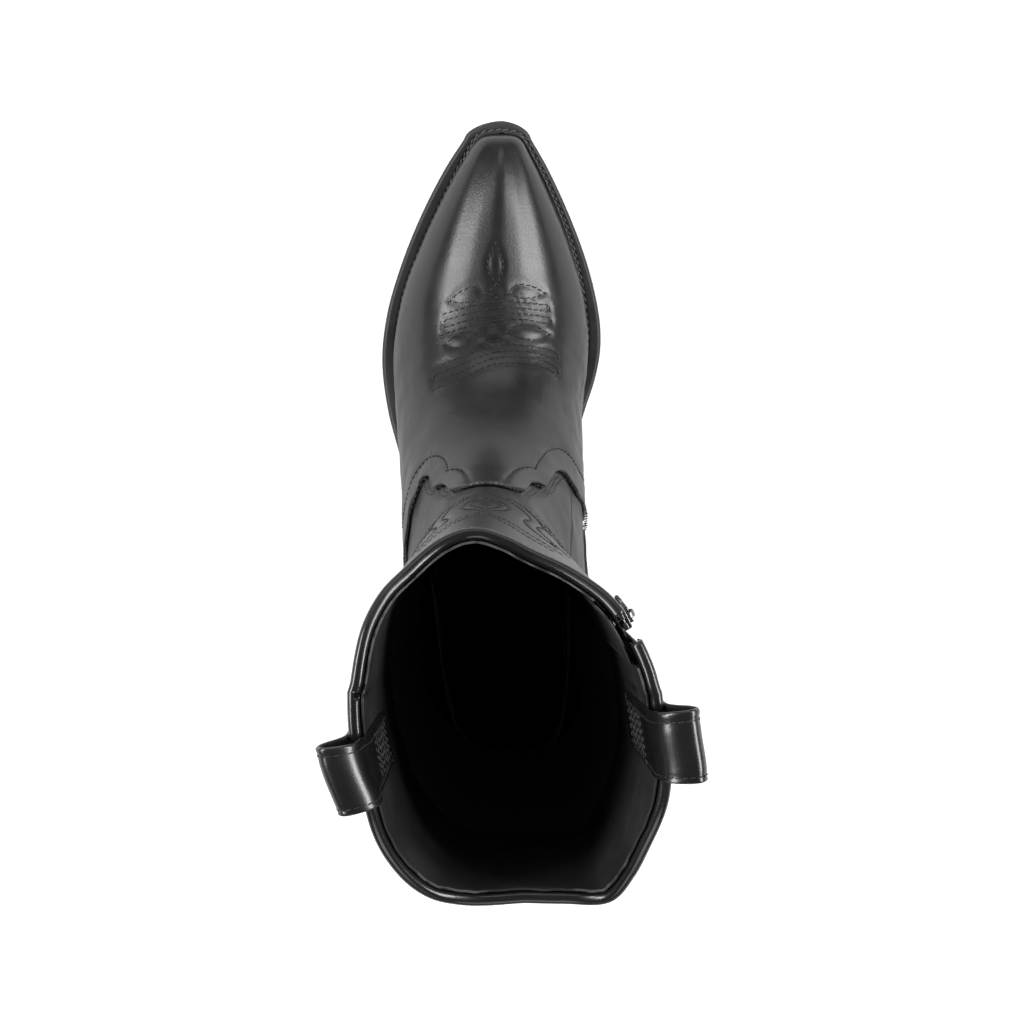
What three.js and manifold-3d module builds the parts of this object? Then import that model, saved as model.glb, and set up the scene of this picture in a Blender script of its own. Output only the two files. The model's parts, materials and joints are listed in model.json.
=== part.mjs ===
// Western boot for the left foot, millimetres, toe towards +Y, inner side towards +X, +Z up.
// Every piece follows one shared surface, the outside of the upper: rings run from the toe,
// round the ankle and up the shaft.  Leather, stiffeners and linings are layers under it.
import * as THREE from 'three';
import { mergeVertices } from 'three/addons/utils/BufferGeometryUtils.js';
import Module from 'manifold-3d';

const wasm = await Module();
wasm.setup();
const { Manifold, Mesh: SolidMesh } = wasm;

// Overall sizes
const LENGTH = 290;            // outsole, toe tip to back of heel
const BALL_WIDTH = 97;         // outsole across the ball
const HEIGHT = 350;            // floor to the side peaks of the topline
const ANKLE = 168;             // floor to where the straight shaft begins
const HEEL_BREAST = 36;        // height of the sole's underside at the front of the heel
const SEAT_SLOPE = 0.14;       // rise of the heel seat per mm towards the back
const TOE_SPRING = 9.5;        // lift of the toe tip off the floor
const FRONT_DIP = 28;          // scallop depth at the front and back of the topline
const BACK_DIP = 31;

// Thicknesses
const GAP = 0.3;               // left between touching pieces
const SOLE = 4.5;
const WELT = 3.2;
const LEATHER = 1.6;           // vamp, counter cover, pull straps
const LAYER = 1.4;             // shaft panels, toe puff, counter stiffener, interlining
const LINING = 1.2;
const FACING = 1.0;
const BOARD = 2.0;             // insole board
const SOCK = 2.0;              // sock liner
const TOP_LIFT = 6;            // rubber under the heel
const SHANK_THICK = 1.2;
const SHANK_WIDE = 14;

// Layers, as distances from the outer surface (negative is inwards)
const OUTER = [0, -LEATHER];
const MIDDLE = [OUTER[1] - GAP, OUTER[1] - GAP - LAYER];
const LINED = [MIDDLE[1] - GAP, MIDDLE[1] - GAP - LINING];
const FACED = [LINED[1] - GAP, LINED[1] - GAP - FACING];
const BOARDED = [LINED[1] - GAP, LINED[1] - GAP - BOARD];
const SOCKED = [BOARDED[1] - GAP, BOARDED[1] - GAP - SOCK];

// Zip, on the inner side of the shaft
const SIDE_SEAM = -90;         // outer side seam, degrees round the shaft from the front
const ZIP_ANGLE = 62;          // degrees round the shaft from the front
const SLIDER_DROP = 26;        // slider's middle below the topline
const SLOT_HALF = 5.5;         // half the opening between the panels at the zip
const ROW_INNER = 0.7;         // each row of teeth runs from here
const ROW_OUTER = 3.3;         // to here, either side of the middle
const TAPE_HALF = 14;
const TOOTH_PITCH = 6;
const TAPE = [MIDDLE[1] - GAP, MIDDLE[1] - GAP - 0.7];
const TEETH = [-1.2, MIDDLE[1]];
const GUARD = [FACED[1] - GAP, FACED[1] - GAP - FACING];

// Pull straps
const STRAP_WIDE = 23;
const STRAP_RISE = 24;         // top of the loop above the topline
const STRAP_DOWN = 46;         // how far each end reaches below it
const STRAP_LEAN = 8.5;        // how far the loop leans outwards
const STRAP_ANGLES = { lateral: -101, medial: 96 };

const PIPING_HALF = 1.8;       // half the width of the side seam's piping
const BINDING_LEG = 6;
const BINDING_CROWN = 1.2;     // the roll's rise over the panels' edge

// What follows the height of the straight shaft, 182 mm at its usual size
const shaftScale = (HEIGHT - ANKLE) / 182;
const ZIP_TRAVEL = 144 * shaftScale;
const FACING_LOW = ANKLE + 94 * shaftScale;

const alongScale = LENGTH / 290;
const acrossScale = BALL_WIDTH / 97;
const footScale = ANKLE / 168;
const SHAFT_RING = 15;         // first ring of the straight shaft
const SHAFT_STEPS = 6;

const lerp = (a, b, t) => a + (b - a) * t;
const clamp = (x, lo, hi) => Math.min(hi, Math.max(lo, x));
const radians = (deg) => deg * Math.PI / 180;

// A smooth curve through points [x, y], straight beyond its ends.
function curveThrough(points) {
  const slope = points.map((p, i) => {
    const a = points[Math.max(i - 1, 0)];
    const b = points[Math.min(i + 1, points.length - 1)];
    return (b[1] - a[1]) / (b[0] - a[0]);
  });
  return (x) => {
    const last = points.length - 1;
    if (x <= points[0][0]) return points[0][1] + slope[0] * (x - points[0][0]);
    if (x >= points[last][0]) return points[last][1] + slope[last] * (x - points[last][0]);
    let k = 0;
    while (points[k + 1][0] < x) k += 1;
    const [x0, y0] = points[k];
    const [x1, y1] = points[k + 1];
    const w = x1 - x0;
    const t = (x - x0) / w;
    const a = t * t * (3 - 2 * t);
    const b = t * (1 - t) * (1 - t) * w * slope[k];
    const c = t * t * (t - 1) * w * slope[k + 1];
    return lerp(y0, y1, a) + b + c;
  };
}

// Straight lines between points [x, y].
function linesThrough(points) {
  return (x) => {
    if (x <= points[0][0]) return points[0][1];
    for (let k = 1; k < points.length; k += 1) {
      if (x <= points[k][0]) {
        const [[x0, y0], [x1, y1]] = [points[k - 1], points[k]];
        return lerp(y0, y1, (x - x0) / (x1 - x0));
      }
    }
    return points[points.length - 1][1];
  };
}

// ---- The sole's side profile: underside height at a distance behind the toe tip ----
const FLAT_FROM = 88 * alongScale;
const FLAT_TO = 108 * alongScale;
const BREAST = 225 * alongScale;

function soleUnder(d) {
  if (d < FLAT_FROM) return TOE_SPRING * ((FLAT_FROM - d) / FLAT_FROM) ** 2;
  if (d <= FLAT_TO) return 0;
  if (d < BREAST) {
    const w = BREAST - FLAT_TO;
    const t = (d - FLAT_TO) / w;
    return t * t * (3 - 2 * t) * HEEL_BREAST + t * t * (t - 1) * SEAT_SLOPE * w;
  }
  return HEEL_BREAST + (d - BREAST) * SEAT_SLOPE;
}
const soleTop = (d) => soleUnder(d) + SOLE;

// ---- The sole's outline: edge positions against distance behind the toe tip ----
const outerEdge = curveThrough([[7.5, -16], [22, -25.3], [43, -36], [64, -44.4], [85, -50.5], [106, -52.8],
  [128, -50.2], [149, -44.5], [178, -37], [208, -31], [238, -29.6], [262, -26.5]]);
const innerEdge = curveThrough([[7.5, 13], [22, 21.3], [43, 31], [64, 38.7], [85, 43.6], [100, 44.4],
  [114, 42], [128, 37.4], [149, 31.5], [178, 29], [208, 32.5], [238, 36.8], [262, 35.5]]);
const TOE_ROUND = 7.5;         // length of the rounded toe tip
const HEEL_ROUND = 28;         // length of the rounded heel end
const HEEL_CENTRE = 4;
const TOE_SHAPE = 1.7;         // exponents of the two round ends: 2 is an ellipse, more is squarer
const HEEL_SHAPE = 2.1;

function soleEdge(d, side) {
  const edge = side < 0 ? outerEdge : innerEdge;
  const from = d / alongScale;
  if (from < TOE_ROUND) {
    const t = clamp(1 - from / TOE_ROUND, 0, 1);
    return edge(TOE_ROUND) * acrossScale * (1 - t ** TOE_SHAPE) ** (1 / TOE_SHAPE);
  }
  const heelStart = 290 - HEEL_ROUND;
  if (from > heelStart) {
    const t = clamp((from - heelStart) / HEEL_ROUND, 0, 1);
    return lerp(HEEL_CENTRE, edge(heelStart), (1 - t ** HEEL_SHAPE) ** (1 / HEEL_SHAPE)) * acrossScale;
  }
  return edge(from) * acrossScale;
}

// ---- The upper's outer surface ----
// Each ring: front point x, d, z; back point x, d, height over the sole; widest x on each side;
// where between front and back it is widest; roundness of its front and back halves.
const footRings = [
  [0, 5.8, 0, 0, 5.8, 0, 0, 0, 0.5, 2, 2],
  [0, 8, 28, 0, 7.5, 0.4, -9.5, 7.7, 0.56, 2.3, 3.5],
  [-0.4, 16, 34, 0, 16, 0.4, -15.6, 12.6, 0.62, 2.2, 4.5],
  [-1, 30, 40, 0, 30, 0.4, -23.4, 19.4, 0.66, 2.1, 5.5],
  [-2, 52, 46.5, -1, 52, 0.4, -34, 28.8, 0.7, 2.1, 6],
  [-3, 78, 54, -3, 77, 0.4, -43.6, 36.3, 0.72, 2.1, 6],
  [-4, 100, 64, -4, 103, 0.4, -47.6, 38.2, 0.74, 2.1, 6],
  [-5, 118, 77, -4, 130, 0.4, -46.5, 34.8, 0.74, 2.1, 6],
  [-6, 133, 93, -3, 165, 0.7, -43.8, 35.6, 0.7, 2.1, 5.5],
  [-6.6, 142, 110, 0, 208, 0.9, -42.2, 36.8, 0.62, 2.1, 4.6],
  [-7, 146.5, 124, 2.6, 255, 0.9, -41.4, 37, 0.58, 2.05, 3.8],
  [-7.2, 147.6, 132, 3.6, 277, 1.6, -40.8, 36.6, 0.57, 2, 3.2],
  [-7.4, 148.2, 139, 4, 285.6, 12, -40.4, 36, 0.57, 2, 2.5],
  [-7.5, 148.7, 147, 4, 286, 38, -40.6, 35.8, 0.57, 2, 2.3],
  [-7.6, 149.1, 156, 4, 272, 74, -41.4, 35.8, 0.55, 2, 2.3],
];
const topRing = [-10.5, 149.4, 0, 5.3, 290.9, 0, -56.1, 53.1, 0.38, 1.76, 2.78];
const ankleRing = [-7.6, 149.5, 0, 4, 260, 0, -42.3, 36.6, 0.53, 2, 2.3];

// Ring numbers in real sizes: both end points as x, y, z.
function sized(ring, frontZ, backZ) {
  const [fx, fd, , bx, bd, , left, right, belly, roundFront, roundBack] = ring;
  return [fx * acrossScale, -fd * alongScale, frontZ, bx * acrossScale, -bd * alongScale, backZ,
    left * acrossScale, right * acrossScale, belly, roundFront, roundBack];
}

function makeRings() {
  const list = footRings.map((ring, i) => {
    const tip = soleTop(ring[4] * alongScale) + 7;
    if (i === 0) return sized(ring, tip, tip);
    return sized(ring, ring[2] * footScale, soleTop(ring[4] * alongScale) + ring[5] * footScale);
  });
  const low = sized(ankleRing, ANKLE, ANKLE);
  const high = sized(topRing, HEIGHT, HEIGHT);
  for (let i = 0; i <= SHAFT_STEPS; i += 1) {
    list.push(low.map((value, n) => lerp(value, high[n], i / SHAFT_STEPS)));
  }
  return list;
}
const rings = makeRings();
const TOP_RING = rings.length - 1;
const ringRise = (HEIGHT - ANKLE) / SHAFT_STEPS;
const ringAtHeight = (z) => SHAFT_RING + (z - ANKLE) / ringRise;

function ringAt(u) {
  const k = clamp(Math.floor(u), 0, TOP_RING - 1);
  const t = u - k;
  const a = rings[k];
  const b = rings[k + 1];
  if (k >= SHAFT_RING) return a.map((value, n) => lerp(value, b[n], t));
  const before = rings[Math.max(k - 1, 0)];
  const after = rings[k + 2];
  return a.map((value, n) => {
    const start = k === 0 ? b[n] - value : (b[n] - before[n]) / 2;
    const end = k + 1 === SHAFT_RING ? after[n] - b[n] : (after[n] - value) / 2;
    const t2 = t * t;
    const t3 = t2 * t;
    return (2 * t3 - 3 * t2 + 1) * value + (t3 - 2 * t2 + t) * start
      + (3 * t2 - 2 * t3) * b[n] + (t3 - t2) * end;
  });
}

// The soft top edge isn't an even curve: how far it waves outwards at an angle from the front.
const topWave = curveThrough([[-180, -1.2], [-160, 2], [-148, 3.3], [-130, 2.8], [-118, 2.4],
  [-108, 1.6], [-93, 2.2], [-84, 0.1], [-74, -0.4], [-60, 0.4], [-48, 0.6], [-36, -0.1], [-19, 1.6],
  [-10, 2.1], [0, 1.3], [10, -0.4], [23, -2.1], [38, -0.1], [52, 1.6], [68, 0.1], [78, -0.8],
  [88, -1.2], [104, 1.4], [124, -1], [138, 0.4], [153, 3.6], [170, -0.2], [180, -1.2]]);
const wrap = (v) => (v > 180 ? v - 360 : v < -180 ? v + 360 : v);

// A point of the surface: u is the ring, v the angle in degrees from the front, + towards the inner side.
function skin(u, v) {
  const [fx, fy, fz, bx, by, bz, left, right, belly, roundFront, roundBack] = ringAt(u);
  const c = Math.cos(radians(v));
  const s = Math.sin(radians(v));
  const round = 2 / (c >= 0 ? roundFront : roundBack);
  const along = Math.abs(c) ** round;
  const across = Math.sign(s) * Math.abs(s) ** round;
  const endX = c >= 0 ? fx : bx;
  const reach = c >= 0 ? belly * (1 - along) : lerp(belly, 1, along);
  const midX = (left + right) / 2;
  const wave = topWave(wrap(v)) * clamp((u - SHAFT_RING) / SHAFT_STEPS, 0, 1.2);
  return new THREE.Vector3(lerp(midX, endX, along) + across * (right - left) / 2 + wave * s,
    lerp(fy, by, reach) + wave * c, lerp(fz, bz, reach));
}

function skinNormal(u, v) {
  if (u < 1e-6) return new THREE.Vector3(0, 1, 0);
  const du = Math.min(0.05, u / 2);
  const alongU = skin(u + du, v).sub(skin(u - du, v));
  const alongV = skin(u, v + 1.5).sub(skin(u, v - 1.5));
  return alongV.cross(alongU).normalize().negate();
}

const layerPoint = (u, v, off) => skin(u, v).addScaledVector(skinNormal(u, v), off);

// Millimetres round the surface turned into degrees.
function degreesFor(mm, u, v) {
  return mm / skin(u, v + 0.5).distanceTo(skin(u, v - 0.5));
}

const toplineHeight = (v) => HEIGHT - (Math.abs(v) > 90 ? BACK_DIP : FRONT_DIP) * Math.cos(radians(v)) ** 2;

// ---- Building closed solids ----
function finish(points, faces) {
  let geometry = new THREE.BufferGeometry();
  const numbers = points.flatMap((p) => [p.x, p.y, p.z]);
  geometry.setAttribute('position', new THREE.Float32BufferAttribute(numbers, 3));
  geometry.setIndex(faces.flat());
  geometry = mergeVertices(geometry, 1e-3);
  const index = geometry.getIndex().array;
  const kept = [];
  let volume = 0;
  const [a, b, c] = [new THREE.Vector3(), new THREE.Vector3(), new THREE.Vector3()];
  for (let i = 0; i < index.length; i += 3) {
    const [i0, i1, i2] = [index[i], index[i + 1], index[i + 2]];
    if (i0 === i1 || i1 === i2 || i0 === i2) continue;
    kept.push([i0, i1, i2]);
    a.fromBufferAttribute(geometry.attributes.position, i0);
    b.fromBufferAttribute(geometry.attributes.position, i1);
    c.fromBufferAttribute(geometry.attributes.position, i2);
    volume += a.dot(b.cross(c));
  }
  geometry.setIndex(kept.flatMap((f) => (volume < 0 ? [f[0], f[2], f[1]] : f)));
  return geometry;
}

// A closed solid between two grids of points, top(s, t) and bottom(s, t), s and t from 0 to 1.
function gridSolid(rows, columns, top, bottom, spaceRows = (s) => s) {
  const points = [];
  const faces = [];
  const at = (side, i, j) => (side * (rows + 1) + i) * (columns + 1) + j;
  for (const place of [top, bottom]) {
    for (let i = 0; i <= rows; i += 1) {
      for (let j = 0; j <= columns; j += 1) points.push(place(spaceRows(i / rows), j / columns));
    }
  }
  const quad = (a, b, c, d) => faces.push([a, b, c], [a, c, d]);
  for (let i = 0; i < rows; i += 1) {
    for (let j = 0; j < columns; j += 1) {
      quad(at(0, i, j), at(0, i + 1, j), at(0, i + 1, j + 1), at(0, i, j + 1));
      quad(at(1, i, j), at(1, i, j + 1), at(1, i + 1, j + 1), at(1, i + 1, j));
    }
    quad(at(0, i, 0), at(1, i, 0), at(1, i + 1, 0), at(0, i + 1, 0));
    quad(at(0, i + 1, columns), at(1, i + 1, columns), at(1, i, columns), at(0, i, columns));
  }
  for (let j = 0; j < columns; j += 1) {
    quad(at(0, 0, j + 1), at(1, 0, j + 1), at(1, 0, j), at(0, 0, j));
    quad(at(0, rows, j), at(1, rows, j), at(1, rows, j + 1), at(0, rows, j + 1));
  }
  return finish(points, faces);
}

// All layers share the same ring numbers and angles, so that they stay parallel.
const LEVELS = [0, 0.25, 0.6, 1, 1.5, 2, 3, 4, 5, 6, 7, 8, 8.5, 9, 9.5, 10, 10.5, 11, 11.5, 12, 13, 14,
  15, 17, 19, 21, 23];
const ANGLE_STEP = 12;

function anglesBetween(from, to, keepOff = [2, 2]) {
  const list = [from];
  const first = Math.ceil((from + keepOff[0]) / ANGLE_STEP) * ANGLE_STEP;
  for (let v = first; v <= to - keepOff[1]; v += ANGLE_STEP) list.push(v);
  return [...list, to];
}

// A layer of the upper over the given angles.  reach(v) gives its first and last ring there, and
// shift(u, v) moves its side edges.
function layer(angles, reach, [outside, inside], shift = (u, v) => v) {
  const spans = angles.map((v) => reach(wrap(shift(TOP_RING, v))));
  const lowest = Math.min(...spans.map((span) => span[0]));
  const highest = Math.max(...spans.map((span) => span[1]));
  const levels = [lowest, ...LEVELS.filter((u) => u > lowest && u < highest), highest];
  const place = (off) => (s, t) => {
    const j = Math.round(t * (angles.length - 1));
    const u = clamp(levels[Math.round(s * (levels.length - 1))], ...spans[j]);
    return layerPoint(u, shift(u, angles[j]), off);
  };
  return gridSolid(levels.length - 1, angles.length - 1, place(outside), place(inside));
}

// A flat-lying piece of the bottom, between two distances behind the toe tip.
function plate(rows, columns, from, to, inset, top, bottom) {
  const place = (height) => (s, t) => {
    const d = lerp(from, to, s);
    const left = soleEdge(d, -1);
    const right = soleEdge(d, 1);
    const half = (right - left) / 2;
    const shrink = half > 0 ? Math.max(0, half - inset) / half : 0;
    const x = (left + right) / 2 + lerp(-half, half, t) * shrink;
    return new THREE.Vector3(x, -d, height(d));
  };
  const easeEnds = (s) => (1 - Math.cos(Math.PI * s)) / 2;
  return gridSolid(rows, columns, place(top), place(bottom), easeEnds);
}

// A closed profile carried along a path: frame(t) turns a profile point into a place.
function sweep(profile, steps, frame) {
  const count = profile.length;
  const points = [];
  const faces = [];
  for (let i = 0; i <= steps; i += 1) {
    for (const p of profile) points.push(frame(i / steps, p));
    if (i === steps) break;
    for (let j = 0; j < count; j += 1) {
      const next = (j + 1) % count;
      const [a, b, c, d] = [i * count + j, i * count + next, (i + 1) * count + next, (i + 1) * count + j];
      faces.push([a, b, c], [a, c, d]);
    }
  }
  const flat = profile.map(([x, y]) => new THREE.Vector2(x, y));
  for (const [a, b, c] of THREE.ShapeUtils.triangulateShape(flat, [])) {
    faces.push([a, c, b], [steps * count + a, steps * count + b, steps * count + c]);
  }
  const clockwise = THREE.ShapeUtils.isClockWise(flat);
  if (clockwise) {
    const caps = faces.splice(steps * count * 2);
    caps.forEach((f) => faces.push(f));
  }
  return finish(points, faces);
}

function toSolid(geometry) {
  let plain = geometry.clone();
  for (const name of Object.keys(plain.attributes)) {
    if (name !== 'position') plain.deleteAttribute(name);
  }
  plain = mergeVertices(plain, 1e-4);
  return new Manifold(new SolidMesh({ numProp: 3,
    vertProperties: new Float32Array(plain.attributes.position.array),
    triVerts: new Uint32Array(plain.getIndex().array) }));
}

function fromSolid(solid) {
  const mesh = solid.getMesh();
  const geometry = new THREE.BufferGeometry();
  const all = [];
  for (let i = 0; i < mesh.vertProperties.length; i += mesh.numProp) {
    all.push(mesh.vertProperties[i], mesh.vertProperties[i + 1], mesh.vertProperties[i + 2]);
  }
  geometry.setAttribute('position', new THREE.Float32BufferAttribute(all, 3));
  geometry.setIndex([...mesh.triVerts]);
  return geometry;
}

// ---- The boot ----
const boot = new THREE.Group();
boot.name = 'cowboy_boot';
const black = 0x0b0b0c;

function add(name, geometry, color, roughness, metalness = 0) {
  const shaded = geometry.toNonIndexed();
  shaded.computeVertexNormals();
  const mesh = new THREE.Mesh(shaded, new THREE.MeshStandardMaterial({ color, roughness, metalness }));
  mesh.name = name;
  boot.add(mesh);
  return mesh;
}

// Edges of the pattern pieces, as ring numbers against the angle from the front.
const vampOuter = linesThrough([[0, 11.8], [12, 11.45], [21, 10.55], [24.5, 10.2], [26, 9.78], [29, 9.5],
  [33, 9.42], [36.5, 9.4], [38.2, 9], [40, 8.82], [44, 8.74], [50, 8.8], [56, 8.95], [62, 9.06], [70, 9.2],
  [77, 9.3], [90, 9.25], [120, 8.8], [158, 8.3]]);
const vampInner = linesThrough([[0, 11.8], [11, 11.5], [20.5, 10.6], [23.5, 10.3], [24.8, 9.9], [27, 9.5],
  [31, 9.36], [37, 9.3], [38.6, 9.08], [41, 8.8], [44.5, 8.6], [48, 8.48], [52.5, 8.44], [58.5, 8.48],
  [69.5, 8.56], [90, 8.4], [120, 8.35], [158, 8.3]]);
const vampTop = (v) => (v < 0 ? vampOuter(-v) : vampInner(v));
const fromBack = (v) => 180 - Math.abs(v);
const counterHalf = curveThrough([[0, 14.1], [20, 13.7], [40, 12.5], [60, 11], [78, 9.6]]);
const counterTop = (v) => counterHalf(fromBack(v));
const seatUnder = linesThrough([[0, 10.45], [10, 10.25], [17, 9.8], [22, 9.2], [30, 8.4]]);
const seatEdge = linesThrough([[0, 11.35], [12, 11.2], [22, 10.8], [30, 10.3], [38, 9.5], [44, 8.5]]);
const UNDER = 158;             // the upper's edge, turned in under the foot
const FEATHER = 146;           // the lining's edge
const OVERLAP = 0.9;           // rings by which a panel runs under the piece that covers it
const VAMP_LINING_END = 8.4;   // ring where the vamp's lining meets the shaft's

const counterLow = (v) => Math.max(vampTop(v) + 0.1, seatUnder(fromBack(v)));
const COUNTER_FROM = 104;

// Distance from the zip's middle line at which the panels beside it end.
function slotHalf(u) {
  return lerp(GAP / 2, SLOT_HALF, clamp((u - SHAFT_RING + 0.6) / 0.6, 0, 1));
}
// The zip's middle runs straight between the two ends of the slider's travel, so that the slider
// stays between the teeth where the surface bends sideways.
const ZIP_TOP = toplineHeight(ZIP_ANGLE);
const SLIDER_Z = ZIP_TOP - SLIDER_DROP;
const zipLow = skin(ringAtHeight(SLIDER_Z - ZIP_TRAVEL), ZIP_ANGLE);
const zipHigh = skin(ringAtHeight(SLIDER_Z), ZIP_ANGLE);

function zipSide(u, mm) {
  const here = skin(u, ZIP_ANGLE);
  if (here.z <= zipLow.z) return ZIP_ANGLE + degreesFor(mm, u, ZIP_ANGLE);
  const middle = zipLow.clone().lerp(zipHigh, (here.z - zipLow.z) / (zipHigh.z - zipLow.z));
  const sideways = skin(u, ZIP_ANGLE + 1).sub(skin(u, ZIP_ANGLE - 1)).normalize();
  return ZIP_ANGLE + degreesFor(mm + middle.sub(here).dot(sideways), u, ZIP_ANGLE);
}
const seamSide = (u, mm) => SIDE_SEAM + degreesFor(mm, u, SIDE_SEAM);

// A panel between the outer side seam and the zip: the front half, or the back half the other way round.
function shaftPanel(half, low, topDrop, depth, zipGap = slotHalf, keepOff = 7) {
  const front = half === 'front';
  const [from, to] = front ? [SIDE_SEAM, ZIP_ANGLE] : [ZIP_ANGLE, SIDE_SEAM + 360];
  const angles = anglesBetween(from, to, front ? [4, keepOff] : [keepOff, 4]);
  const high = (v) => ringAtHeight(toplineHeight(v) - topDrop);
  return layer(angles, (v) => [low(v), high(v)], depth, (u, v) => {
    if (v === ZIP_ANGLE) return zipSide(u, front ? -zipGap(u) : zipGap(u));
    if (v === SIDE_SEAM) return seamSide(u, GAP / 2);
    if (v === SIDE_SEAM + 360) return 360 + seamSide(u, -GAP / 2);
    return v;
  });
}

const frontPanel = () => shaftPanel('front', (v) => vampTop(v) - OVERLAP, 1.4, MIDDLE);

function backPanel(by = 0) {
  const low = (v) => {
    const beside = vampTop(v) - OVERLAP;
    return Math.abs(v) < COUNTER_FROM ? beside : Math.max(beside, counterTop(v) - OVERLAP);
  };
  return shaftPanel('back', low, 1.4, grown(MIDDLE, by));
}

// Each cover can be made thicker on both faces, to cut clearance in what lies under it.
const grown = ([outside, inside], by) => [outside + by, inside - by];

const vamp = (by = 0) => layer(anglesBetween(-UNDER - by, UNDER + by), (v) => [0, vampTop(v) + by / 10],
  grown(OUTER, by));

const toePuff = () => layer(anglesBetween(-UNDER + 10, UNDER - 10), () => [0, 3.5], MIDDLE);

const interlining = () => layer(anglesBetween(-UNDER + 10, UNDER - 10),
  (v) => [3.6, vampTop(v) - OVERLAP - 0.3], MIDDLE);

const vampLining = (by = 0) => layer(anglesBetween(-FEATHER - by, FEATHER + by),
  () => [0, VAMP_LINING_END + by / 10], grown(LINED, by));

function counterCover(by = 0) {
  const top = (v) => Math.max(counterTop(v), counterLow(v) + 0.2);
  return layer(anglesBetween(COUNTER_FROM, 360 - COUNTER_FROM),
    (v) => [counterLow(v) - by / 10, top(v) + by / 10], grown(OUTER, by));
}

function counterStiffener(by = 0) {
  const low = (v) => counterLow(v) + 0.3;
  return layer(anglesBetween(COUNTER_FROM + 16, 344 - COUNTER_FROM),
    (v) => [low(v) - by / 10, Math.max(counterTop(v) - OVERLAP - 0.1, low(v) + 0.2) + by / 10],
    grown(MIDDLE, by));
}

function liningHalf(half) {
  const low = (v) => (fromBack(v) < 44 ? Math.max(8.5, seatEdge(fromBack(v))) : 8.5);
  return shaftPanel(half, low, BINDING_LEG + 1, LINED, () => TAPE_HALF + 1.5, 18);
}

function facing() {
  return layer(anglesBetween(ZIP_ANGLE, ZIP_ANGLE + 360, [18, 18]),
    (v) => [ringAtHeight(FACING_LOW), ringAtHeight(toplineHeight(v) - 0.5)], FACED, (u, v) => {
      if (v === ZIP_ANGLE) return zipSide(u, TAPE_HALF + 1);
      if (v === ZIP_ANGLE + 360) return 360 + zipSide(u, -TAPE_HALF - 1);
      return v;
    });
}

// The rolled edge: a saddle over the panel and the lining, from one side of the zip to the other.
function binding() {
  const [outside, inside] = [-GAP, LINED[1]];
  const shoulder = BINDING_CROWN - 0.8;
  const profile = [[outside, -BINDING_LEG], [outside, shoulder], [outside - 1, BINDING_CROWN],
    [inside + 1, BINDING_CROWN], [inside, shoulder], [inside, -BINDING_LEG], [LINED[0], -BINDING_LEG],
    [LINED[0], -1], [OUTER[1], -1], [OUTER[1], -BINDING_LEG]];
  const angles = [...anglesBetween(ZIP_ANGLE, ZIP_ANGLE + 360, [7, 7]), SIDE_SEAM + 360];
  angles.sort((a, b) => a - b);
  angles[0] = zipSide(TOP_RING, SLOT_HALF);
  angles[angles.length - 1] = 360 + zipSide(TOP_RING, -SLOT_HALF);
  const steps = angles.length - 1;
  return sweep(profile, steps, (t, [off, up]) => {
    const v = angles[Math.round(t * steps)];
    return layerPoint(ringAtHeight(toplineHeight(wrap(v)) + up), v, off);
  });
}

// Piping over the outer side seam, ending under the pull strap.
function piping() {
  const half = PIPING_HALF;
  const base = OUTER[1] + GAP / 2;
  const profile = [[-half, base], [half, base], [half * 0.8, -0.4], [0, 0.2], [-half * 0.8, -0.4]];
  const from = vampTop(SIDE_SEAM) + 0.35;
  const to = ringAtHeight(HEIGHT - STRAP_DOWN - 3);
  return sweep(profile, 8, (t, [along, off]) => {
    const u = lerp(from, to, t);
    return layerPoint(u, seamSide(u, along), off);
  });
}

// The strap's path seen from the front of the boot: distance outwards against height over the topline.
function strapPath() {
  const out = LEATHER / 2 + 0.1;
  const inside = FACED[1] - GAP - LEATHER / 2;
  const knots = [[out, -STRAP_DOWN], [out, -STRAP_DOWN / 2], [out, 0], [out + 2.4, 7], [out + 6.4, 14],
    [STRAP_LEAN, STRAP_RISE - 4], [STRAP_LEAN - 2, STRAP_RISE - 1], [STRAP_LEAN - 6, STRAP_RISE - 0.9],
    [STRAP_LEAN - 12, STRAP_RISE - 5], [inside + 0.3, 11], [inside, 0], [inside, -STRAP_DOWN / 2],
    [inside, -STRAP_DOWN]];
  const points = knots.map(([x, y]) => new THREE.Vector3(x, y, 0));
  return new THREE.CatmullRomCurve3(points, false, 'centripetal');
}

function pullStrap(angle, by = 0) {
  const path = strapPath();
  const place = (shift) => (s, t) => {
    const p = path.getPoint(s);
    const along = path.getTangent(s);
    const off = p.x + along.y * shift;
    const up = p.y - along.x * shift;
    const v = angle + degreesFor(lerp(-STRAP_WIDE / 2, STRAP_WIDE / 2, t), TOP_RING, angle);
    return layerPoint(ringAtHeight(toplineHeight(angle) + up), v, off);
  };
  return gridSolid(22, 3, place(LEATHER / 2 + by), place(-LEATHER / 2 - by));
}

// Takes the space of other pieces out of one.
function clearOf(geometry, ...others) {
  let solid = toSolid(geometry);
  for (const other of others) solid = solid.subtract(toSolid(other));
  const bodies = solid.decompose().sort((a, b) => b.volume() - a.volume());
  return fromSolid(bodies[0]);
}

// ---- Bottom ----
const NAIL_SPOTS = [[-8, 242], [-8, 257], [14, 242], [14, 257]];
const NAIL_LENGTH = 26;

function nailShape([x, d], grow) {
  const head = soleTop(d * alongScale) + BOARDED[1] * -1 + 0.2;
  const r = 1.3 + grow;
  const profile = [[0, grow], [2.6 + grow, grow], [2.6 + grow, -1 - grow], [r, -1 - grow],
    [r, -NAIL_LENGTH - grow], [0, -NAIL_LENGTH - 2 - grow]];
  const geometry = new THREE.LatheGeometry(profile.map(([a, b]) => new THREE.Vector2(a, b)).reverse(), 12);
  geometry.rotateX(Math.PI / 2);
  geometry.translate(x * acrossScale, -d * alongScale, head);
  return toSolid(finish(...unpack(geometry)));
}

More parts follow.
